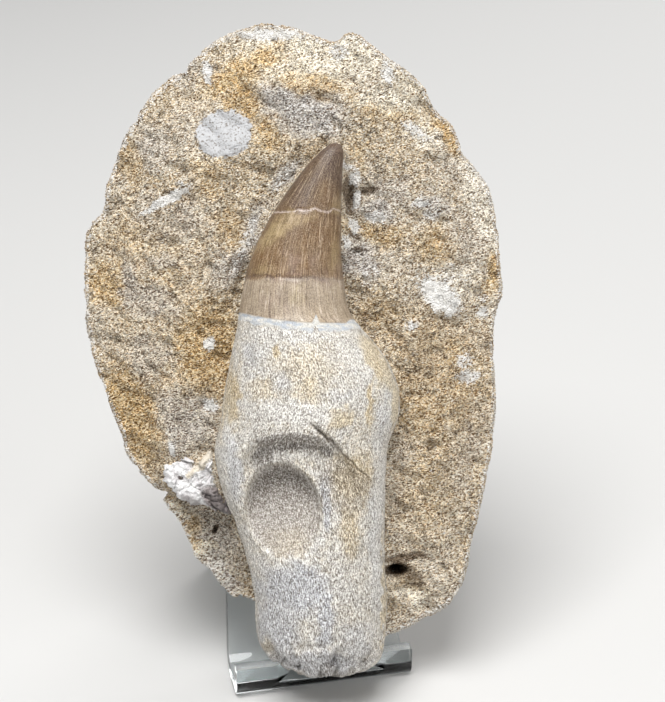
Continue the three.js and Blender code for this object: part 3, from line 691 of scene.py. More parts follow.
# stains and inlays of the face, as patches
STAINS = {
    "ochre": [
        (-23, 156.2, 11.5, 3.6, 27, 1), (-22.5, 147.7, 4.6, 5.5, 20, 0.9),
        (-16.5, 140, 4, 4.4, 0, 0.7), (-5.3, 152.4, 8.5, 3.2, -10, 0.7),
        (15, 144.5, 7.5, 2.2, -5, 0.4), (29.8, 140.6, 6.8, 2.2, -54, 1), (7, 133.6, 3, 3.2, 0, 0.5),
        (-53.1, 133.1, 3.4, 8.5, 10, 0.6), (-32.3, 128.5, 4, 5.5, 20, 0.5),
        (-26, 116, 4, 6.5, 25, 0.6), (-32, 84, 8.5, 13, 10, 1), (-58.5, 101, 4, 7, 0, 0.9),
        (-51, 67, 6.5, 14, 18, 1), (-37.2, 38, 3, 3.4, 0, 0.7), (27, 76, 13, 20, 0, 0.55),
        (41.3, 104.5, 2.6, 5.5, 0, 1), (11, 115, 7.5, 3.2, -8, 0.7), (26.5, 110.6, 4.5, 5, 10, 0.7),
        (31.6, 83.2, 2.8, 4, 0, 0.7), (24, 46, 8, 12, 0, 0.35), (-53, 113.5, 6, 4, 0, 0.4),
        (-44, 92, 15, 34, 10, 0.3), (20, 25.6, 4.6, 3.2, -35, 0.4), (11, 93, 7, 5, 0, 0.45),
    ],
    "cream": [
        (-6, 160.5, 20, 8, 0, 1), (22, 140, 5, 3, -35, 0.8), (38.6, 121, 3.2, 18, 18, 0.9),
        (18, 152, 9, 5, -35, 0.7), (30.5, 101.5, 7.5, 5.5, 20, 0.8), (-34, 150, 6, 4, 30, 0.4),
        (41.6, 90, 1.4, 18, 0, 0.6), (20.5, 20.5, 5.5, 2.2, -30, 1), (-33, 133, 4, 3, 0, 0.5),
        (-29, 150, 3, 4, 0, 0.5), (24, 141.5, 4, 3, -50, 0.8), (15, 147.5, 9, 3, -10, 0.9),
    ],
    "grey": [
        (-8.4, 145.9, 12, 6.5, -10, 1), (11.7, 118.8, 6, 3.4, -10, 0.8),
        (6.8, 107, 5.2, 5.6, 0, 0.9), (25.5, 121, 4.6, 3.6, 0, 0.8), (15, 126, 6, 4, 20, 0.5),
        (-52, 101, 3.4, 5.6, 8, 1), (-46.5, 97, 6.2, 4.4, -30, 0.9), (-47.6, 82, 6.4, 6.6, 0, 0.7),
        (-39, 66, 9.6, 8, 25, 0.9), (-45, 106.6, 5.2, 2.6, 0, 0.7), (-28, 104.5, 4.6, 4.2, 0, 0.6),
        (-33, 36, 7, 10, 30, 0.6), (-46, 135, 6, 5, 0, 0.5), (-48, 122, 3.5, 3.5, 0, 0.5),
        (34, 60, 5, 6, 0, 0.5), (18, 60, 4, 5, 0, 0.4), (-22.5, 112, 3, 12, -22, 0.8),
        (-12, 129, 2.5, 6, -42, 0.7), (-43, 117, 9, 6, 0, 0.5), (31, 104, 14, 46, 0, 0.32),
    ],
}
RUBBLE = [(7.5, 122, 7.5, 11, 0, 1), (22, 118, 8, 6, 0, 0.4)]
CUT_BONE = [(-27.8, 139.4, 7.1, 6, 10, 1.2)]  # a chalky bone cut flush with the face
CRUMBS = [  # white crumbling rock, and small shells
    (5.9, 128.4, 1.6, 2.2, 0, 1), (6.2, 122.8, 1.2, 2.8, -6, 1), (3.6, 131.2, 2.2, 1, 0, 0.9),
    (5.4, 116.2, 1.6, 2, 30, 1), (3.6, 111.8, 1.1, 2, 0, 0.9), (11.4, 118.4, 3.2, 1.8, 0, 0.9),
    (27.6, 98.2, 6.8, 3.6, -38, 1.2), (30, 95, 2.6, 2, -38, 1.15), (34.2, 81.3, 2.6, 2.4, 0, 0.7),
    (35.2, 77.2, 3.5, 1.9, 5, 0.9), (39, 94.2, 1.7, 1.5, 0, 1), (39.3, 97.8, 1.2, 1.1, 0, 0.8),
    (-31.6, 85.6, 1.2, 1.8, 0, 1.3), (-31.4, 70, 2.2, 2, 0, 0.9), (20.2, 90.6, 1.9, 1.4, 0, 0.8),
    (29, 102.6, 6, 3.4, 10, 0.5), (22.6, 122, 2.2, 1.4, 0, 0.9), (25.5, 118.6, 2.4, 1.6, 0, 0.7),
    (28.5, 152.6, 1.2, 2.2, 35, 0.9), (-39.5, 127, 1.2, 1, 0, 0.6), (21.5, 141, 5, 1.7, -38, 0.8),
    (-22.5, 112, 1.7, 10, -22, 0.6), (-11.8, 129.4, 1.5, 6, -42, 0.6), (-16, 166, 9.5, 1.8, 0, 1),
    (1.7, 161.3, 2.6, 2.2, 0, 0.8), (14.2, 155.4, 1.5, 3.8, 10, 1), (-43, 122.6, 7.4, 1.3, 28, 1.2),
    (-32.3, 156.2, 1.3, 3.4, 8, 1.2), (9.8, 104.4, 3, 1.4, 0, 0.5), (-41.2, 58.8, 1, 2, 8, 1.3),
    (-8, 146, 5, 2, -20, 0.5), (-2, 141.6, 3, 1.6, 40, 0.5),
]
SHADE_AND_BROWN = [  # painted shade in dark brown, in hollows, cracks, borings and beside the root; a few brown stains
    (4, 124.6, 1.5, 4.2, 0, 1), (4.6, 119.8, 1.3, 1.4, 0, 0.9), (9.4, 125.4, 3.4, 1.3, 8, 0.7),
    (5.6, 113.6, 2, 0.7, -20, 0.9), (6.6, 109.8, 3.4, 0.5, 5, 0.7), (16.6, 27.6, 3.4, 1.9, 0, 1.2),
    (16.4, 46, 2.6, 16, 0, 0.36), (19.4, 72, 2.6, 10, 0, 0.36), (11, 93, 7, 5.5, 20, 0.38),
    (19, 30.8, 6.5, 1, 8, 0.85), (20.8, 25.6, 4.2, 2.2, -38, 0.62), (30, 56, 11, 26, 0, 0.28),
    (22, 81, 6.5, 10, 0, 0.36), (-45, 117, 8, 4, 20, 0.26), (-30.6, 37.6, 0.7, 1.1, -20, 2),
    (-38.6, 40.4, 1.6, 0.8, 0, 0.6), (22, 108.4, 2.6, 0.7, -40, 0.5),
    (31.5, 105.6, 1.4, 0.6, 0, 0.6),
]


def closed_curve(points, count):
    """Evenly spaced points on a smooth closed curve."""
    points = np.array(points)
    points = np.vstack([points[-2:], points, points[:3]])
    step = np.sqrt(np.hypot(*np.diff(points, axis=0).T))
    at = np.r_[0, np.cumsum(step)]
    rows = np.c_[at, points]
    fine = np.linspace(at[2], at[-3], 6000)
    curve = along(rows, fine)
    run = np.r_[0, np.cumsum(np.hypot(*np.diff(curve, axis=0).T))]
    return along(rows, np.interp(np.linspace(0, run[-1], count, endpoint=False), run, fine))


def socket(x, y):
    """How far across the tooth a point is, the depth of its back, and how far left of it."""
    left, right, back, front = along(TOOTH_ROWS, y.ravel()).T.reshape(4, *y.shape)
    across = np.abs(x - (left + right) / 2) / ((right - left) / 2 - SIDE_OVERLAP)
    power = back_roundness(y)
    bow = (1 - np.minimum(across, 1) ** power) ** (1 / power)
    floor = (back + front) / 2 - ((front - back) / 2 + FLOOR_GAP) * bow
    return across, floor, left - x


def lumps(x, y, layer):
    """Lumps of a broken rock face, from large to small, the smaller ones drawn out aslant."""
    points = np.stack([x, y, np.full_like(x, layer)], -1)
    aslant = np.stack([x * 0.8 - y * 0.6, x * 0.6 + y * 0.8, np.full_like(x, layer)], -1)
    return (
        1.8 * grain(points, 21.0)
        + 1.6 * grain(points, 9.0, shift=0.4)
        + 1.0 * grain(aslant, 4.6, 2, (1.7, 1, 1), 0.7)
        + 0.6 * grain(aslant, 2.0, 1, (1.6, 1, 1), 4.4)
        + 2.2 * np.minimum(grain(aslant, 3.4, 1, (1.6, 1, 1), 2.9) + 0.02, 0)
    )


def pebbles(points, size):
    """Rounded lumps packed together, about 0.5 high at their middles and 0 between them."""
    places = (Vector(p) for p in points.reshape(-1, 3) / size)
    found = [noise.voronoi(place, distance_metric="DISTANCE")[0][0] for place in places]
    return 0.6 - np.array(found).reshape(points.shape[:-1])


def face_height(x, y, reach):
    """Height of the slab's front, where reach is 0 at its middle and 1 at its edge."""
    (ax, ay), (bx, by) = STEP_LINE
    below = ((x - ax) * (by - ay) - (y - ay) * (bx - ax)) / math.hypot(bx - ax, by - ay)
    height = FACE - FRONT_EDGE_DROP * ease(reach, 0.72, 1.0) + lumps(x, y, 3.1)
    height = height - STEP_DROP * ease(below, -0.6, 2.4) * (1 - ease(x, -18, -8))
    for mx, my, sx, sy, depth in DENTS:
        inside = 1 - np.minimum(np.hypot((x - mx) / sx, (y - my) / sy), 1) ** 2
        height = height - depth * inside**2
    for cut in CRACKS:
        height = height - stroke(x, y, cut)
    points = np.stack([x, y, height], -1)
    rough = 0.8 * pebbles(points, 1.9) + 0.35 * grain(points, 1.1)
    rubble = 1.2 * pebbles(points, 3.0) + 1.1 * grain(points, 1.8, 2, shift=6.6) - 0.4
    rough = rough + patches(x, y, RUBBLE, 0.6) * rubble
    smooth_cut = patches(x, y, CUT_BONE, 0.25)
    height = height + rough * (1 - 0.7 * smooth_cut) + 0.25 * smooth_cut
    # the rock rises under the crown to carry it, and was scraped away along its left side
    across, floor, aside = socket(x, y)
    on_crown = ease(y, 104, 112) * (1 - ease(y, 136.5, 140))
    rise = np.maximum(floor - height, 0) * (1 - ease(across, 0.95, 1.6)) * on_crown
    groove = ease(y, 95, 100) * (1 - ease(y, 132, 138)) * (1 - ease(np.abs(aside - 1.2), 0, 1.6))
    height = height + rise - GROOVE_DEPTH * groove
    inside = (across < 1) & (y > LOWEST) & (y < HIGHEST)
    return np.where(inside, np.minimum(height, floor), height)


def back_height(x, y, reach):
    """Height of the slab's back, flat where the easel's plate bears on it."""
    turned = BACK - math.tan(EASEL_TURN) * FLAT_BACK * np.tanh(x / FLAT_BACK)
    rough = lumps(x, y, 8.2)
    wide = grain(np.stack([x, y, 0 * x], -1), 26.0, 2, shift=9.2)
    hollows = np.maximum(rough - 0.2, 0) + np.maximum(wide * 3, 0)
    return turned + 0.5 * rough + hollows + BACK_EDGE_RISE * ease(reach, 0.68, 1.0)


spokes = closed_curve(SLAB_OUTLINE, SLAB_SPOKES)
inward = SLAB_CENTRE - spokes
spokes = spokes + inward * (RIM_INSET / np.hypot(*inward.T))[:, None]


def slab_ring(reach, height):
    """Rings of the slab, each at its share of the way from the middle to the outline."""
    reach = np.reshape(reach, (-1, 1))
    x, y = (SLAB_CENTRE + (spokes - SLAB_CENTRE) * reach[..., None]).transpose(2, 0, 1)
    return np.stack([x, y, height(x, y, np.broadcast_to(reach, x.shape))], -1)


def pole(height):
    """The middle point of the slab's front or back."""
    x, y = SLAB_CENTRE[:, None, None]
    return (*SLAB_CENTRE, float(height(x, y, 0 * x)[0, 0]))


front = slab_ring(np.linspace(0.1, 0.985, 112), face_height)
back = slab_ring(np.r_[np.linspace(0.975, 0.62, 22), np.linspace(0.56, 0.12, 12)], back_height)
back[..., 2] = np.minimum(back[..., 2], 30)
# the rim bulges a little between the front and the back, and is gouged
way_back = np.linspace(0, 1, 14)[1:-1]
waist = slab_ring(0.985 + np.sin(np.pi * way_back) ** 0.6 * 0.015, lambda x, y, reach: 0 * x)
top_edge, low_edge = front[-1, :, 2], back[0, :, 2]
waist[..., 2] = top_edge + (low_edge - top_edge) * ease(way_back, -0.1, 1.1)[:, None]
inward = SLAB_CENTRE - spokes
inward = np.c_[inward / np.hypot(*inward.T)[:, None], np.zeros(len(spokes))]
gouges = np.maximum(grain(waist, 6.0, 3) * 1.4 + pebbles(waist, 2.4) * -0.9 + 0.3, 0)
waist = waist + inward * (gouges * np.sin(np.pi * way_back)[:, None] ** 0.5)[..., None]
slab_rings = np.concatenate([front, waist, back])
slab = skin("matrix_slab_face", pole(face_height), slab_rings, pole(back_height))
x, y = slab_rings[..., 0], slab_rings[..., 1]
level = np.arange(len(x))[:, None] + 0 * x
on_face = (level < len(front)) * 1.0
in_waist = (level >= len(front)) & (level < len(front) + len(waist))
# painted highlight: the outer rings of the face and the rim are whitened
rim_highlight = ((level >= len(front) - 2) & (level < len(front) + len(waist))) * 0.55
warped = strayed(x, y, slab_rings, 5.0, 3, (0, 4.2), (2.4, 2.4))
for name, softness, noise_size, shift, strength in [
    ("ochre", 0.55, 17.0, 2.6, 0.8),
    ("cream", 0.55, 12.0, 5.1, 0.6),
    ("grey", 0.5, 14.0, 8.8, 0.7),
]:
    behind = (1 - on_face) * ease(grain(slab_rings, noise_size, 2, shift=shift), 0.0, 0.4)
    mark(slab, name, patches(*warped, STAINS[name], softness) * on_face + strength * behind)
frayed = strayed(x, y, slab_rings, 2.2, 2, (0, 7.7), (0.7, 0.7))
cut_bone = patches(*frayed, CUT_BONE, 0.2)
mark(slab, "chalk", cut_bone * on_face)
mark(slab, "white_and_rim_highlight", np.maximum(patches(*frayed, CRUMBS, 0.5) * on_face, rim_highlight))
mark(slab, "shade_and_brown", patches(*frayed, SHADE_AND_BROWN, 0.5) * on_face)
beside_tooth = (socket(x, y)[0] > 1.02) | (y < 0) | (y > 136.4)
mark(slab, "bare", (beside_tooth & (on_face > 0) | in_waist) * (1 - 0.8 * cut_bone))


def shared(name, inputs, outputs):
    """A new shader node group: its tree, its inputs and its outputs."""
    tree = bpy.data.node_groups.new(name, "ShaderNodeTree")
    for in_out, sockets in (("INPUT", inputs), ("OUTPUT", outputs)):
        for socket_name, kind in sockets.items():
            tree.interface.new_socket(socket_name, in_out=in_out, socket_type="NodeSocket" + kind)
    return tree, tree.nodes.new("NodeGroupInput").outputs, tree.nodes.new("NodeGroupOutput").inputs


MASKS = ("Ochre", "Grey", "Cream", "Chalk", "White_and_rim_highlight", "Shade_and_brown", "Tone")
sandstone, given, result = shared(
    "sandstone_colour",
    {"Place": "Vector", **dict.fromkeys(MASKS, "Float")},
    {"Color": "Color", "Height": "Float"},
)
place = given["Place"]
clouds = speckle(place, 16.0, 3.0)
mottle = speckle(place, 2.6, 3.0, 0.6)
small_mottle = speckle(place, 1.1, 1.0, 0.5)
slanted = mapped(place, turn=-0.35)
fine = speckle(slanted, 0.3, 1.0, 0.5, (2.1, 1, 1), 0.8)
crinkles = speckle(slanted, 0.36, 1.0, 0.5, (3.0, 1, 1), 0.8)
pits = speckle(slanted, 1.7, 3.0, 0.6, (2.4, 1, 1), 0.6)
distance, cell = cells(place, (1.8, 1.8, 1.8))
rock = tint(fade(clouds, 0.36, 0.62), colour(243, 225, 197), colour(243, 219, 179))
rock = layers(
    rock,
    (fade(ruffled(given["Cream"], mottle, 0.8), 0.1, 1, 0, 0.9), (255, 246, 224)),
    (fade(ruffled(given["Grey"], mottle, 0.8), 0, 1, 0, 0.8), (228, 223, 218)),
    (fade(ruffled(given["Ochre"], mottle, 0.8), 0, 1, 0, 0.8), (230, 198, 146)),
)
tone = times(fade(mottle, 0.3, 0.7, 0.78, 1.12), fade(small_mottle, 0.3, 0.7, 0.82, 1.1))
rock = shade(rock, tone)
rock = shade(rock, fade(crinkles, 0.38, 0.62, 0.76, 1.12))
rock = layers(
    rock,
    (fade(fine, 0.5, 0.38), (122, 102, 81), "MULTIPLY"),
    (fade(fine, 0.51, 0.61, 0, 0.72), (255, 251, 242)),
    (fade(cell["Red"], 0.84, 0.98, 0, 0.7), (250, 242, 224)),
    (fade(cell["Green"], 0.86, 0.98, 0, 0.6), (92, 74, 54)),
)
rock = shade(rock, scaled(given["Tone"], 0.6, 0.7))
rock = layers(
    rock,
    (fade(pits, 0.36, 0.28, 0, 0.8), (88, 68, 48)),
    (fade(pits, 0.63, 0.7, 0, 0.6), (250, 242, 228)),
    (times(given["Ochre"], 0.75), (253, 238, 204), "MULTIPLY"),
    (times(given["Grey"], 0.6), (248, 249, 254), "MULTIPLY"),
)
rock = shade(rock, scaled(given["Cream"], 0.26, 1.02))
# painted shade in dark brown, in hollows, cracks and borings and beside the root, with a few brown
# stains
shade_brown_look = tint(fade(fine, 0.42, 0.6), colour(58, 42, 28), colour(150, 128, 102))
rock = tint(fade(ruffled(given["Shade_and_brown"], small_mottle, 0.8), 0.2, 0.8, 0, 0.85), rock, shade_brown_look)
# white crumbling rock and shells, and the painted highlight along the rim
crumbly = ruffled(ruffled(given["White_and_rim_highlight"], small_mottle, 1.2), fine, 2.4)
rock = layers(rock, (fade(crumbly, 0.4, 0.9, 0, 0.95), (252, 250, 246)))
# cut bone: chalky, with grey pores
specks = fade(speckle(place, 0.6, 2.0), 0.46, 0.34, 0, 0.8)
bone = tint(specks, colour(196, 196, 197), colour(126, 118, 110))
chalked = ruffled(ruffled(given["Chalk"], fine, 0.9), small_mottle, 1.2)
covered = fade(chalked, 0.35, 0.6)
sandstone.links.new(tint(covered, rock, bone), result["Color"])
relief = times(fade(distance, 0.2, 0.7, 1, 0), 0.2)
for part, height in ((fine, 0.7), (crinkles, 0.5), (small_mottle, 0.7), (mottle, 1.2)):
    relief = plus(relief, times(part, height))
relief = plus(relief, fade(pits, 0.26, 0.4, 0, 0.8))
relief = times(calc("SUBTRACT", relief, 2.25), scaled(covered, -0.7, 1.0))
sandstone.links.new(relief, result["Height"])


def sandstone_look(name, bump_height, toned):
    """Sandstone, with its stains from the mesh, and where toned a tone of its own for each grain."""
    made, tree, shader = material(name)
    stone = put(tree, "ShaderNodeGroup", {"Place": bench_place(tree)}, node_tree=sandstone)
    stone.inputs["Tone"].default_value = 0.5
    for key in MASKS if toned else MASKS[:-1]:
        tree.links.new(mask(tree, key.lower()), stone.inputs[key])
    tree.links.new(stone.outputs["Color"], shader.inputs["Base Color"])
    shader.inputs["Roughness"].default_value = 0.9
    shader.inputs["Specular IOR Level"].default_value = 0.25
    bumped(tree, shader, stone.outputs["Height"], bump_height)
    return made


slab.data.materials.append(sandstone_look("sandstone_face", 0.001, False))
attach(slab, "root")
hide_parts("matrix_slab")

# ---------------------------------------------------------------- loose grains on the rock's face
# Pellets and sand grains that stand out of the face and rim, half sunk in their cement.
GRAINS = [  # name, how many to the square metre, smallest and largest radius in metres, seed
    ("matrix_grains", 1.5e6, (0.00014, 0.00032), 11),
    ("matrix_pellets", 1.2e6, (0.0002, 0.00042), 29),
]


def grain_tree(look):
    """A tree of nodes that strews grains over the bare part of a rock."""
    tree = bpy.data.node_groups.new("strewn_grains", "GeometryNodeTree")
    tree.interface.new_socket("Rock", in_out="INPUT", socket_type="NodeSocketGeometry")
    for name in ("Density", "Smallest", "Largest", "Mix"):
        tree.interface.new_socket(name, in_out="INPUT", socket_type="NodeSocketFloat")
    tree.interface.new_socket("Grains", in_out="OUTPUT", socket_type="NodeSocketGeometry")
    given = tree.nodes.new("NodeGroupInput").outputs

    def chance(seed, kind="FLOAT", **limits):
        """A random value for each grain."""
        inputs = {**limits, "Seed": seed}
        return put(tree, "FunctionNodeRandomValue", inputs, data_type=kind).outputs["Value"]

    bare = put(tree, "GeometryNodeInputNamedAttribute", {"Name": "bare"}, data_type="FLOAT")
    density = times(bare.outputs["Attribute"], given["Density"])
    strewn = put(
        tree, "GeometryNodeDistributePointsOnFaces",
        {"Mesh": given["Rock"], "Density": density, "Seed": given["Mix"]}, distribute_method="RANDOM",
    )
    size = chance(3, Min=given["Smallest"], Max=given["Largest"])
    turn = chance(5, "FLOAT_VECTOR", Max=(6.3, 6.3, 6.3))
    squash = chance(8, "FLOAT_VECTOR", Min=(0.7, 0.7, 0.6), Max=(1.2, 1.2, 1.0))
    stored = put(
        tree, "GeometryNodeStoreNamedAttribute",
        {"Geometry": strewn.outputs["Points"], "Name": "tone", "Value": chance(21)},
        data_type="FLOAT", domain="POINT",
    )
    pebble = put(tree, "GeometryNodeMeshUVSphere", {"Segments": 4, "Rings": 2, "Radius": 1.0})
    scale = put(tree, "ShaderNodeVectorMath", {0: squash, "Scale": size}, operation="SCALE")
    copies = put(
        tree, "GeometryNodeInstanceOnPoints",
        {
            "Points": stored.outputs["Geometry"], "Instance": pebble.outputs["Mesh"],
            "Rotation": turn, "Scale": scale.outputs["Vector"],
        },
    )
    real = put(tree, "GeometryNodeRealizeInstances", {"Geometry": copies.outputs["Instances"]})
    dressed = put(
        tree, "GeometryNodeSetMaterial", {"Geometry": real.outputs["Geometry"], "Material": look}
    )
    result = tree.nodes.new("NodeGroupOutput")
    tree.links.new(dressed.outputs["Geometry"], result.inputs["Grains"])
    return tree


def grown_by_nodes(name, carrier, tree, values):
    """The plain mesh that a tree of nodes makes from a carrier object."""
    modifier = carrier.modifiers.new("nodes", "NODES")
    modifier.node_group = tree
    for item in tree.interface.items_tree:
        if item.in_out == "INPUT" and item.name in values:
            modifier[item.identifier] = values[item.name]
    evaluated = carrier.evaluated_get(bpy.context.evaluated_depsgraph_get())
    mesh = bpy.data.meshes.new_from_object(evaluated)
    mesh.name = name
    carrier.modifiers.remove(modifier)
    return placed(name, mesh)


tree = grain_tree(sandstone_look("sandstone_grains", 0.0007, True))
for name, per_m2, (smallest, largest), seed in GRAINS:
    values = {"Density": per_m2, "Smallest": smallest, "Largest": largest, "Mix": seed}
    grains = grown_by_nodes(name, slab, tree, values)
    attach(grains, "root")

# ---------------------------------------------------------------- the scrap of bone
# A broken end of another bone, chalky and crumbling, bedded in the edge of the rock beside the
# root. Its lower side was cut away steeply, and a tan seam runs up through it.
SCRAP_MIDDLE = np.array([-35.4, 50.0])
SCRAP_OUTLINE = [  # anticlockwise from where it meets the root, at the top
    (-30, 57), (-30.8, 58.8), (-32.6, 58), (-34.3, 56), (-35.7, 57), (-37.5, 57.4), (-39.6, 56.9),
    (-41.3, 56.3), (-44.8, 55.2), (-44.9, 53), (-44.2, 50.2), (-42.4, 48), (-40, 45.7),
    (-36.4, 44.1), (-32.9, 43.9), (-30.1, 42.6), (-26, 41.6), (-26.8, 45.1), (-28.3, 48.5),
    (-29.8, 52.3),
]
SCRAP_TOP, SCRAP_BOTTOM = 22.6, 11.0
SCRAP_PROFILE = [  # way down it, then share of its reach and of its height
    (0, 0.02, 1), (0.3, 0.3, 1), (0.58, 0.58, 0.98), (0.85, 0.82, 0.87), (1.1, 0.96, 0.6),
    (1.5, 1, 0.25), (1.8, 0.88, 0),
]
SCRAP_LEVELS, SCRAP_SPOKES = 76, 190  # of its mesh
SCRAP_HOLE = {"middle": (-39.0, 51.3), "radius": 0.7, "depth": 2.6}
SEAM = [(-36.8, 51.8, 1.4, 0.9), (-34.2, 54.6, 2.1, 1.1), (-30.9, 58.2, 2.4, 1.2)]  # as a cut
SCRAP_SHADE = [  # painted shade: below the lower right towards the root, along the lower left edge, and in the hole
    (-29.2, 45.6, 5.4, 2.8, -40, 1), (-36.6, 45.6, 2.8, 1.4, -25, 0.5),
    (-39, 51.4, 0.7, 0.4, -12, 2),
]


def chunks(points, size, depth):
    """Broken blocks: each stands at a height of its own, with a cleft between it and the next."""
    heights = []
    for p in points.reshape(-1, 3) / size:
        (near, next_near, *_), (cell, *_) = noise.voronoi(Vector(p), distance_metric="DISTANCE")
        cleft = max(0.0, 1 - (next_near - near) / 0.1)
        heights.append(noise.cell(cell * 7.3) - 0.5 - 0.4 * cleft)
    return depth * np.array(heights).reshape(points.shape[:-1])


way = np.linspace(0, SCRAP_PROFILE[-1][0], SCRAP_LEVELS)
reach, level = along(SCRAP_PROFILE, way).T[:, :, None]
edge = closed_curve(SCRAP_OUTLINE, SCRAP_SPOKES) - SCRAP_MIDDLE
edge = np.c_[edge, np.zeros(len(edge))]
edge = edge * (1 + 0.1 * grain(edge, 1.5, 2))[:, None]
x = SCRAP_MIDDLE[0] + reach * edge[:, 0]
y = SCRAP_MIDDLE[1] + reach * edge[:, 1]
slope = 0.12 * (x - SCRAP_MIDDLE[0]) + 0.1 * (y - SCRAP_MIDDLE[1])
z = SCRAP_BOTTOM + level * (SCRAP_TOP - SCRAP_BOTTOM + slope)
rings = np.stack([x, y, z], -1)
aslant = np.stack([(x + y) * 0.7, (y - x) * 0.7, z], -1)
crumble = chunks(rings, 4.4, 1.2) + chunks(rings, 1.7, 0.4) + grain(rings, 0.8, 2) * 0.35
crumble = crumble + grain(aslant, 0.6, 2, (3, 1, 1)) * 0.35
from_hole = np.hypot(x - SCRAP_HOLE["middle"][0], y - SCRAP_HOLE["middle"][1])
crumble = crumble - SCRAP_HOLE["depth"] * (1 - ease(from_hole, 0, SCRAP_HOLE["radius"]))
seam = stroke(*wander(x, y), SEAM)
crumble = crumble * (1 - 0.3 * seam)
on_top = ease(level, 0.5, 0.95)
sideways = crumble * (1 - on_top) * ease(reach, 0.5, 0.9)
rings[..., 2] += crumble * ease(level, 0.2, 0.9)
rings[..., :2] += (edge / 8)[None, :, :2] * sideways[..., None]
# where it meets the root it follows the root's side
left, right, back, front = along(TOOTH_ROWS, rings[..., 1].ravel()).T.reshape(4, *x.shape)
depth = np.minimum(np.abs(rings[..., 2] - (back + front) / 2) / ((front - back) / 2), 1)
roundness = 2.2
side = (left + right) / 2 - (right - left) / 2 * (1 - depth**roundness) ** (1 / roundness)
rings[..., 0] = np.minimum(rings[..., 0], side - 0.15)
scrap = skin("bone_scrap_chalk", rings[0].mean(0), rings, rings[-1].mean(0))
mark(scrap, "seam", seam)
# painted shade below the scrap's lower right, on its lower left edge and in its hole
mark(scrap, "painted_scrap_shade", patches(x, y, SCRAP_SHADE, 0.4))
# painted shade on the scrap's steep sides
mark(scrap, "painted_side_shade", 1 - on_top + 0 * x)

scrap_look, tree, shader = material("crumbling_bone")
place = bench_place(tree)
fine = speckle(place, 0.4, 3.0, 0.65, twist=0.6)
clouds = speckle(place, 2.4)
seamed = ruffled(ruffled(mask(tree, "seam"), clouds, 0.8), speckle(place, 0.35, 1.0), 1.2)
bone = tint(fade(clouds, 0.42, 0.6), colour(251, 250, 249), colour(232, 229, 229))
bone = layers(
    bone,
    (fade(seamed, 0.3, 0.8, 0, 0.8), (228, 216, 194)),
    (fade(fine, 0.45, 0.33, 0, 0.6), (142, 134, 128)),
    # painted shade on the steep sides, below the scrap's lower right and in its hole
    (fade(mask(tree, "painted_side_shade"), 0.3, 0.9, 0, 0.6), (186, 180, 178)),
    (fade(mask(tree, "painted_scrap_shade"), 0.1, 0.9, 0, 0.85), (136, 124, 122)),
)
tree.links.new(bone, shader.inputs["Base Color"])
shader.inputs["Roughness"].default_value = 0.92
bumped(tree, shader, fine, 0.0003)
scrap.data.materials.append(scrap_look)
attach(scrap, "root")
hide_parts("bone_scrap")

# ---------------------------------------------------------------- the easel
# One sheet of clear acrylic, bent hot: two low hooks in front, a short ledge, a plate that leans
# back with the slab, and a leg behind. Its sawn edges are flame-polished, so they are rounded.
SHEET = 3.5  # thickness
HALF_WIDTH = 23.4  # of the ledge and the hooks
LIP_HEIGHT = 8.9
LEDGE_DEPTH = 9.0
PLATE_LENGTH = 76.0
TAPER = math.radians(4.5)
LEG_LEAN = math.radians(18)
BENDS = (2.2, 8.0, 4.2)  # radius of the sheet's middle at the hooks, the heel and the top
GAP_FRONT, GAP_BACK = (-12.6, 16.2), (-9.4, 12.9)  # between the hooks, at their front and back
EASEL_FROM_FOSSIL = (-1.9, -11.0)  # the hooks' front, from the fossil's own frame
POLISHED = 0.0004  # radius of the rounded edges, in metres
BEND_STEP = math.radians(3)  # each flat of a bend turns by this or less
cad_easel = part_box("easel")


def easel_path():
    """The middle line of the sheet from a hook's top to the leg's foot, rounded at each bend."""
    low = SHEET / 2
    heel = Vector((SHEET + LEDGE_DEPTH + low / math.cos(LEAN) - low * math.tan(LEAN), low))
    top = heel + PLATE_LENGTH * Vector((math.sin(LEAN), math.cos(LEAN)))
    foot = top + Vector((math.tan(LEG_LEAN), -1)) * top.y
    corners = [Vector((low, LIP_HEIGHT)), Vector((low, low)), heel, top, foot]
    path = [corners[0]]
    for before, corner, after, bend in zip(corners, corners[1:], corners[2:], BENDS):
        into, out_of = (corner - before).normalized(), (after - corner).normalized()
        turn = math.acos(into.dot(out_of))
        side = math.copysign(1, into.cross(out_of))
        start = corner - into * bend * math.tan(turn / 2)
        centre = start + Vector((-into.y, into.x)) * side * bend
        steps = math.ceil(turn / BEND_STEP)
        for k in range(steps + 1):
            path.append(centre + Matrix.Rotation(side * turn * k / steps, 2) @ (start - centre))
    return path + [corners[-1]]


def prism(name, rings):
    """A closed solid over rings of four corners, in the easel's frame and in millimetres."""
    solid = bmesh.new()
    made = [[solid.verts.new(Vector(corner) / 1000) for corner in ring] for ring in rings]
    for ring, following in zip(made, made[1:]):
        for k in range(4):
            solid.faces.new((ring[k], ring[k - 3], following[k - 3], following[k]))
    solid.faces.new(made[0][::-1])
    solid.faces.new(made[-1])
    bmesh.ops.recalc_face_normals(solid, faces=solid.faces)
    mesh = bpy.data.meshes.new(name)
    solid.to_mesh(mesh)
    solid.free()
    return placed(name, mesh)


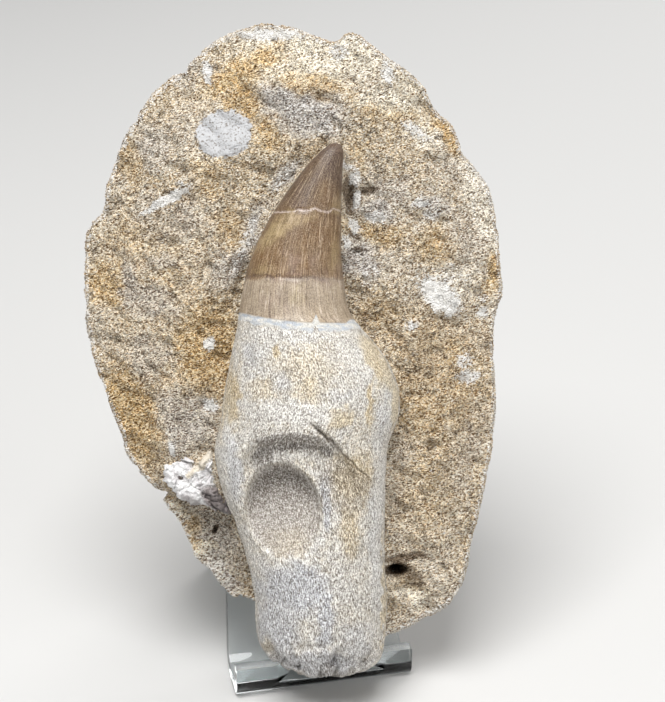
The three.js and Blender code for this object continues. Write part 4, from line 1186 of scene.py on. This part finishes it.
path = easel_path()
highest = path.index(max(path, key=lambda point: point.y))
rings = []
for i, point in enumerate(path):
    before, after = path[max(i - 1, 0)], path[min(i + 1, len(path) - 1)]
    run = (after - before).normalized()
    out = Vector((-run.y, run.x)) * SHEET / 2
    climb = path[highest].y if i > highest else max(0.0, point.y - SHEET / 2)
    on_hook = i < len(path) / 2 and point.x < SHEET + LEDGE_DEPTH / 2
    width = HALF_WIDTH - (0 if on_hook else climb * math.tan(TAPER))
    outer, inner = point - out, point + out
    if i == len(path) - 1:  # the foot is cut level with the table
        outer, inner = (p - run * (p.y / run.y) for p in (outer, inner))
    rings.append([(-width, *outer), (width, *outer), (width, *inner), (-width, *inner)])
sheet = prism("easel_clear_sheet", rings)
slope = [(GAP_FRONT[k] - GAP_BACK[k]) / SHEET for k in (0, 1)]
before, behind = -3, SHEET + 1.5  # the cut runs out on both sides of the hooks
corners = (before, 0), (before, 1), (behind, 1), (behind, 0)
plan = [(GAP_FRONT[k] - deep * slope[k], deep) for deep, k in corners]
gap = prism("gap", [[(*corner, up) for corner in plan] for up in (SHEET, SHEET + LIP_HEIGHT)])
cut = sheet.modifiers.new("gap", "BOOLEAN")
cut.object, cut.operation, cut.solver = gap, "DIFFERENCE", "EXACT"
polish = sheet.modifiers.new("polish", "BEVEL")
polish.width, polish.segments, polish.angle_limit = POLISHED, 3, math.radians(30)
mesh = bpy.data.meshes.new_from_object(sheet.evaluated_get(bpy.context.evaluated_depsgraph_get()))
sheet.modifiers.clear()
sheet.data = mesh
bpy.data.objects.remove(gap)
easel_at = Vector(ORIGIN) + Vector((*EASEL_FROM_FOSSIL, 0)) / 1000
easel_at.z = cad_easel[0].z
mesh.transform(Matrix.Translation(easel_at) @ Matrix.Rotation(EASEL_TURN, 4, "Z"))
mesh.shade_smooth()
mesh.set_sharp_from_angle(angle=math.radians(32))

clear, tree, shader = material("clear_acrylic")
shader.inputs["Base Color"].default_value = (0.93, 0.97, 0.98, 1)
shader.inputs["Transmission Weight"].default_value = 1.0
shader.inputs["IOR"].default_value = 1.49
scuffs = speckle(bench_place(tree), 9.0, 6.0, 0.75)
tree.links.new(fade(scuffs, 0.5, 0.8, 0.02, 0.16), shader.inputs["Roughness"])
mesh.materials.clear()
mesh.materials.append(clear)
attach(sheet, "root")
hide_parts("easel")

# ---------------------------------------------------------------- floor, light and camera
# A plain pale floor, and a soft studio light from above and to the left. The camera looks
# straight at the slab's face.
FLOOR_SIDE = 6.0
LAMPS = [  # name, place, size, power in watts
    ("key_light", (-0.14, -0.38, 1.15), 0.75, 16.9),
    ("back_light", (0.6, 0.9, 0.8), 0.8, 7),
    ("fill_light", (1.0, -0.85, 0.5), 0.9, 5.3),
]
LIT_MIDDLE = Vector((0, 0, 0.08))  # the lamps are aimed here, half way up
CAMERA_OVER_FACE = (0.0, 84.0, 534.0)  # in the fossil's own frame
SENSOR_WIDTH, LENS = 36, 102.56  # in millimetres

side = FLOOR_SIDE / 2
corners = [(-side, -side, 0), (side, -side, 0), (side, side, 0), (-side, side, 0)]
floor_mesh = bpy.data.meshes.new("floor")
floor_mesh.from_pydata(corners, [], [(0, 1, 2, 3)])
floor = placed("floor", floor_mesh)
floor_look, tree, shader = material("floor_paper")
shader.inputs["Base Color"].default_value = colour(205, 204, 202)
shader.inputs["Roughness"].default_value = 0.9
floor.data.materials.append(floor_look)
floor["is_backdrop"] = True

for name, place, size, power in LAMPS:
    light = bpy.data.lights.new(name, "AREA")
    light.size, light.energy = size, power
    lamp = placed(name, light)
    lamp.location = place
    lamp.rotation_euler = (LIT_MIDDLE - Vector(place)).to_track_quat("-Z", "Y").to_euler()
world = bpy.data.worlds.new("studio")
world.use_nodes = True
world.node_tree.nodes["Background"].inputs["Color"].default_value = (0.96, 0.98, 1.0, 1)
world.node_tree.nodes["Background"].inputs["Strength"].default_value = 0.26
bpy.context.scene.world = world
bpy.context.scene.view_settings.view_transform = "Standard"

camera = placed("camera", bpy.data.cameras.new("camera"))
camera.location = lay(CAMERA_OVER_FACE)[0]
camera.rotation_euler = (math.pi / 2 - LEAN, 0, 0)
camera.data.sensor_width = SENSOR_WIDTH
camera.data.lens = LENS
bpy.context.scene.camera = camera

low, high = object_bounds()
size = {"cad": [list(cad_low), list(cad_high)], "visual": [list(low), list(high)]}
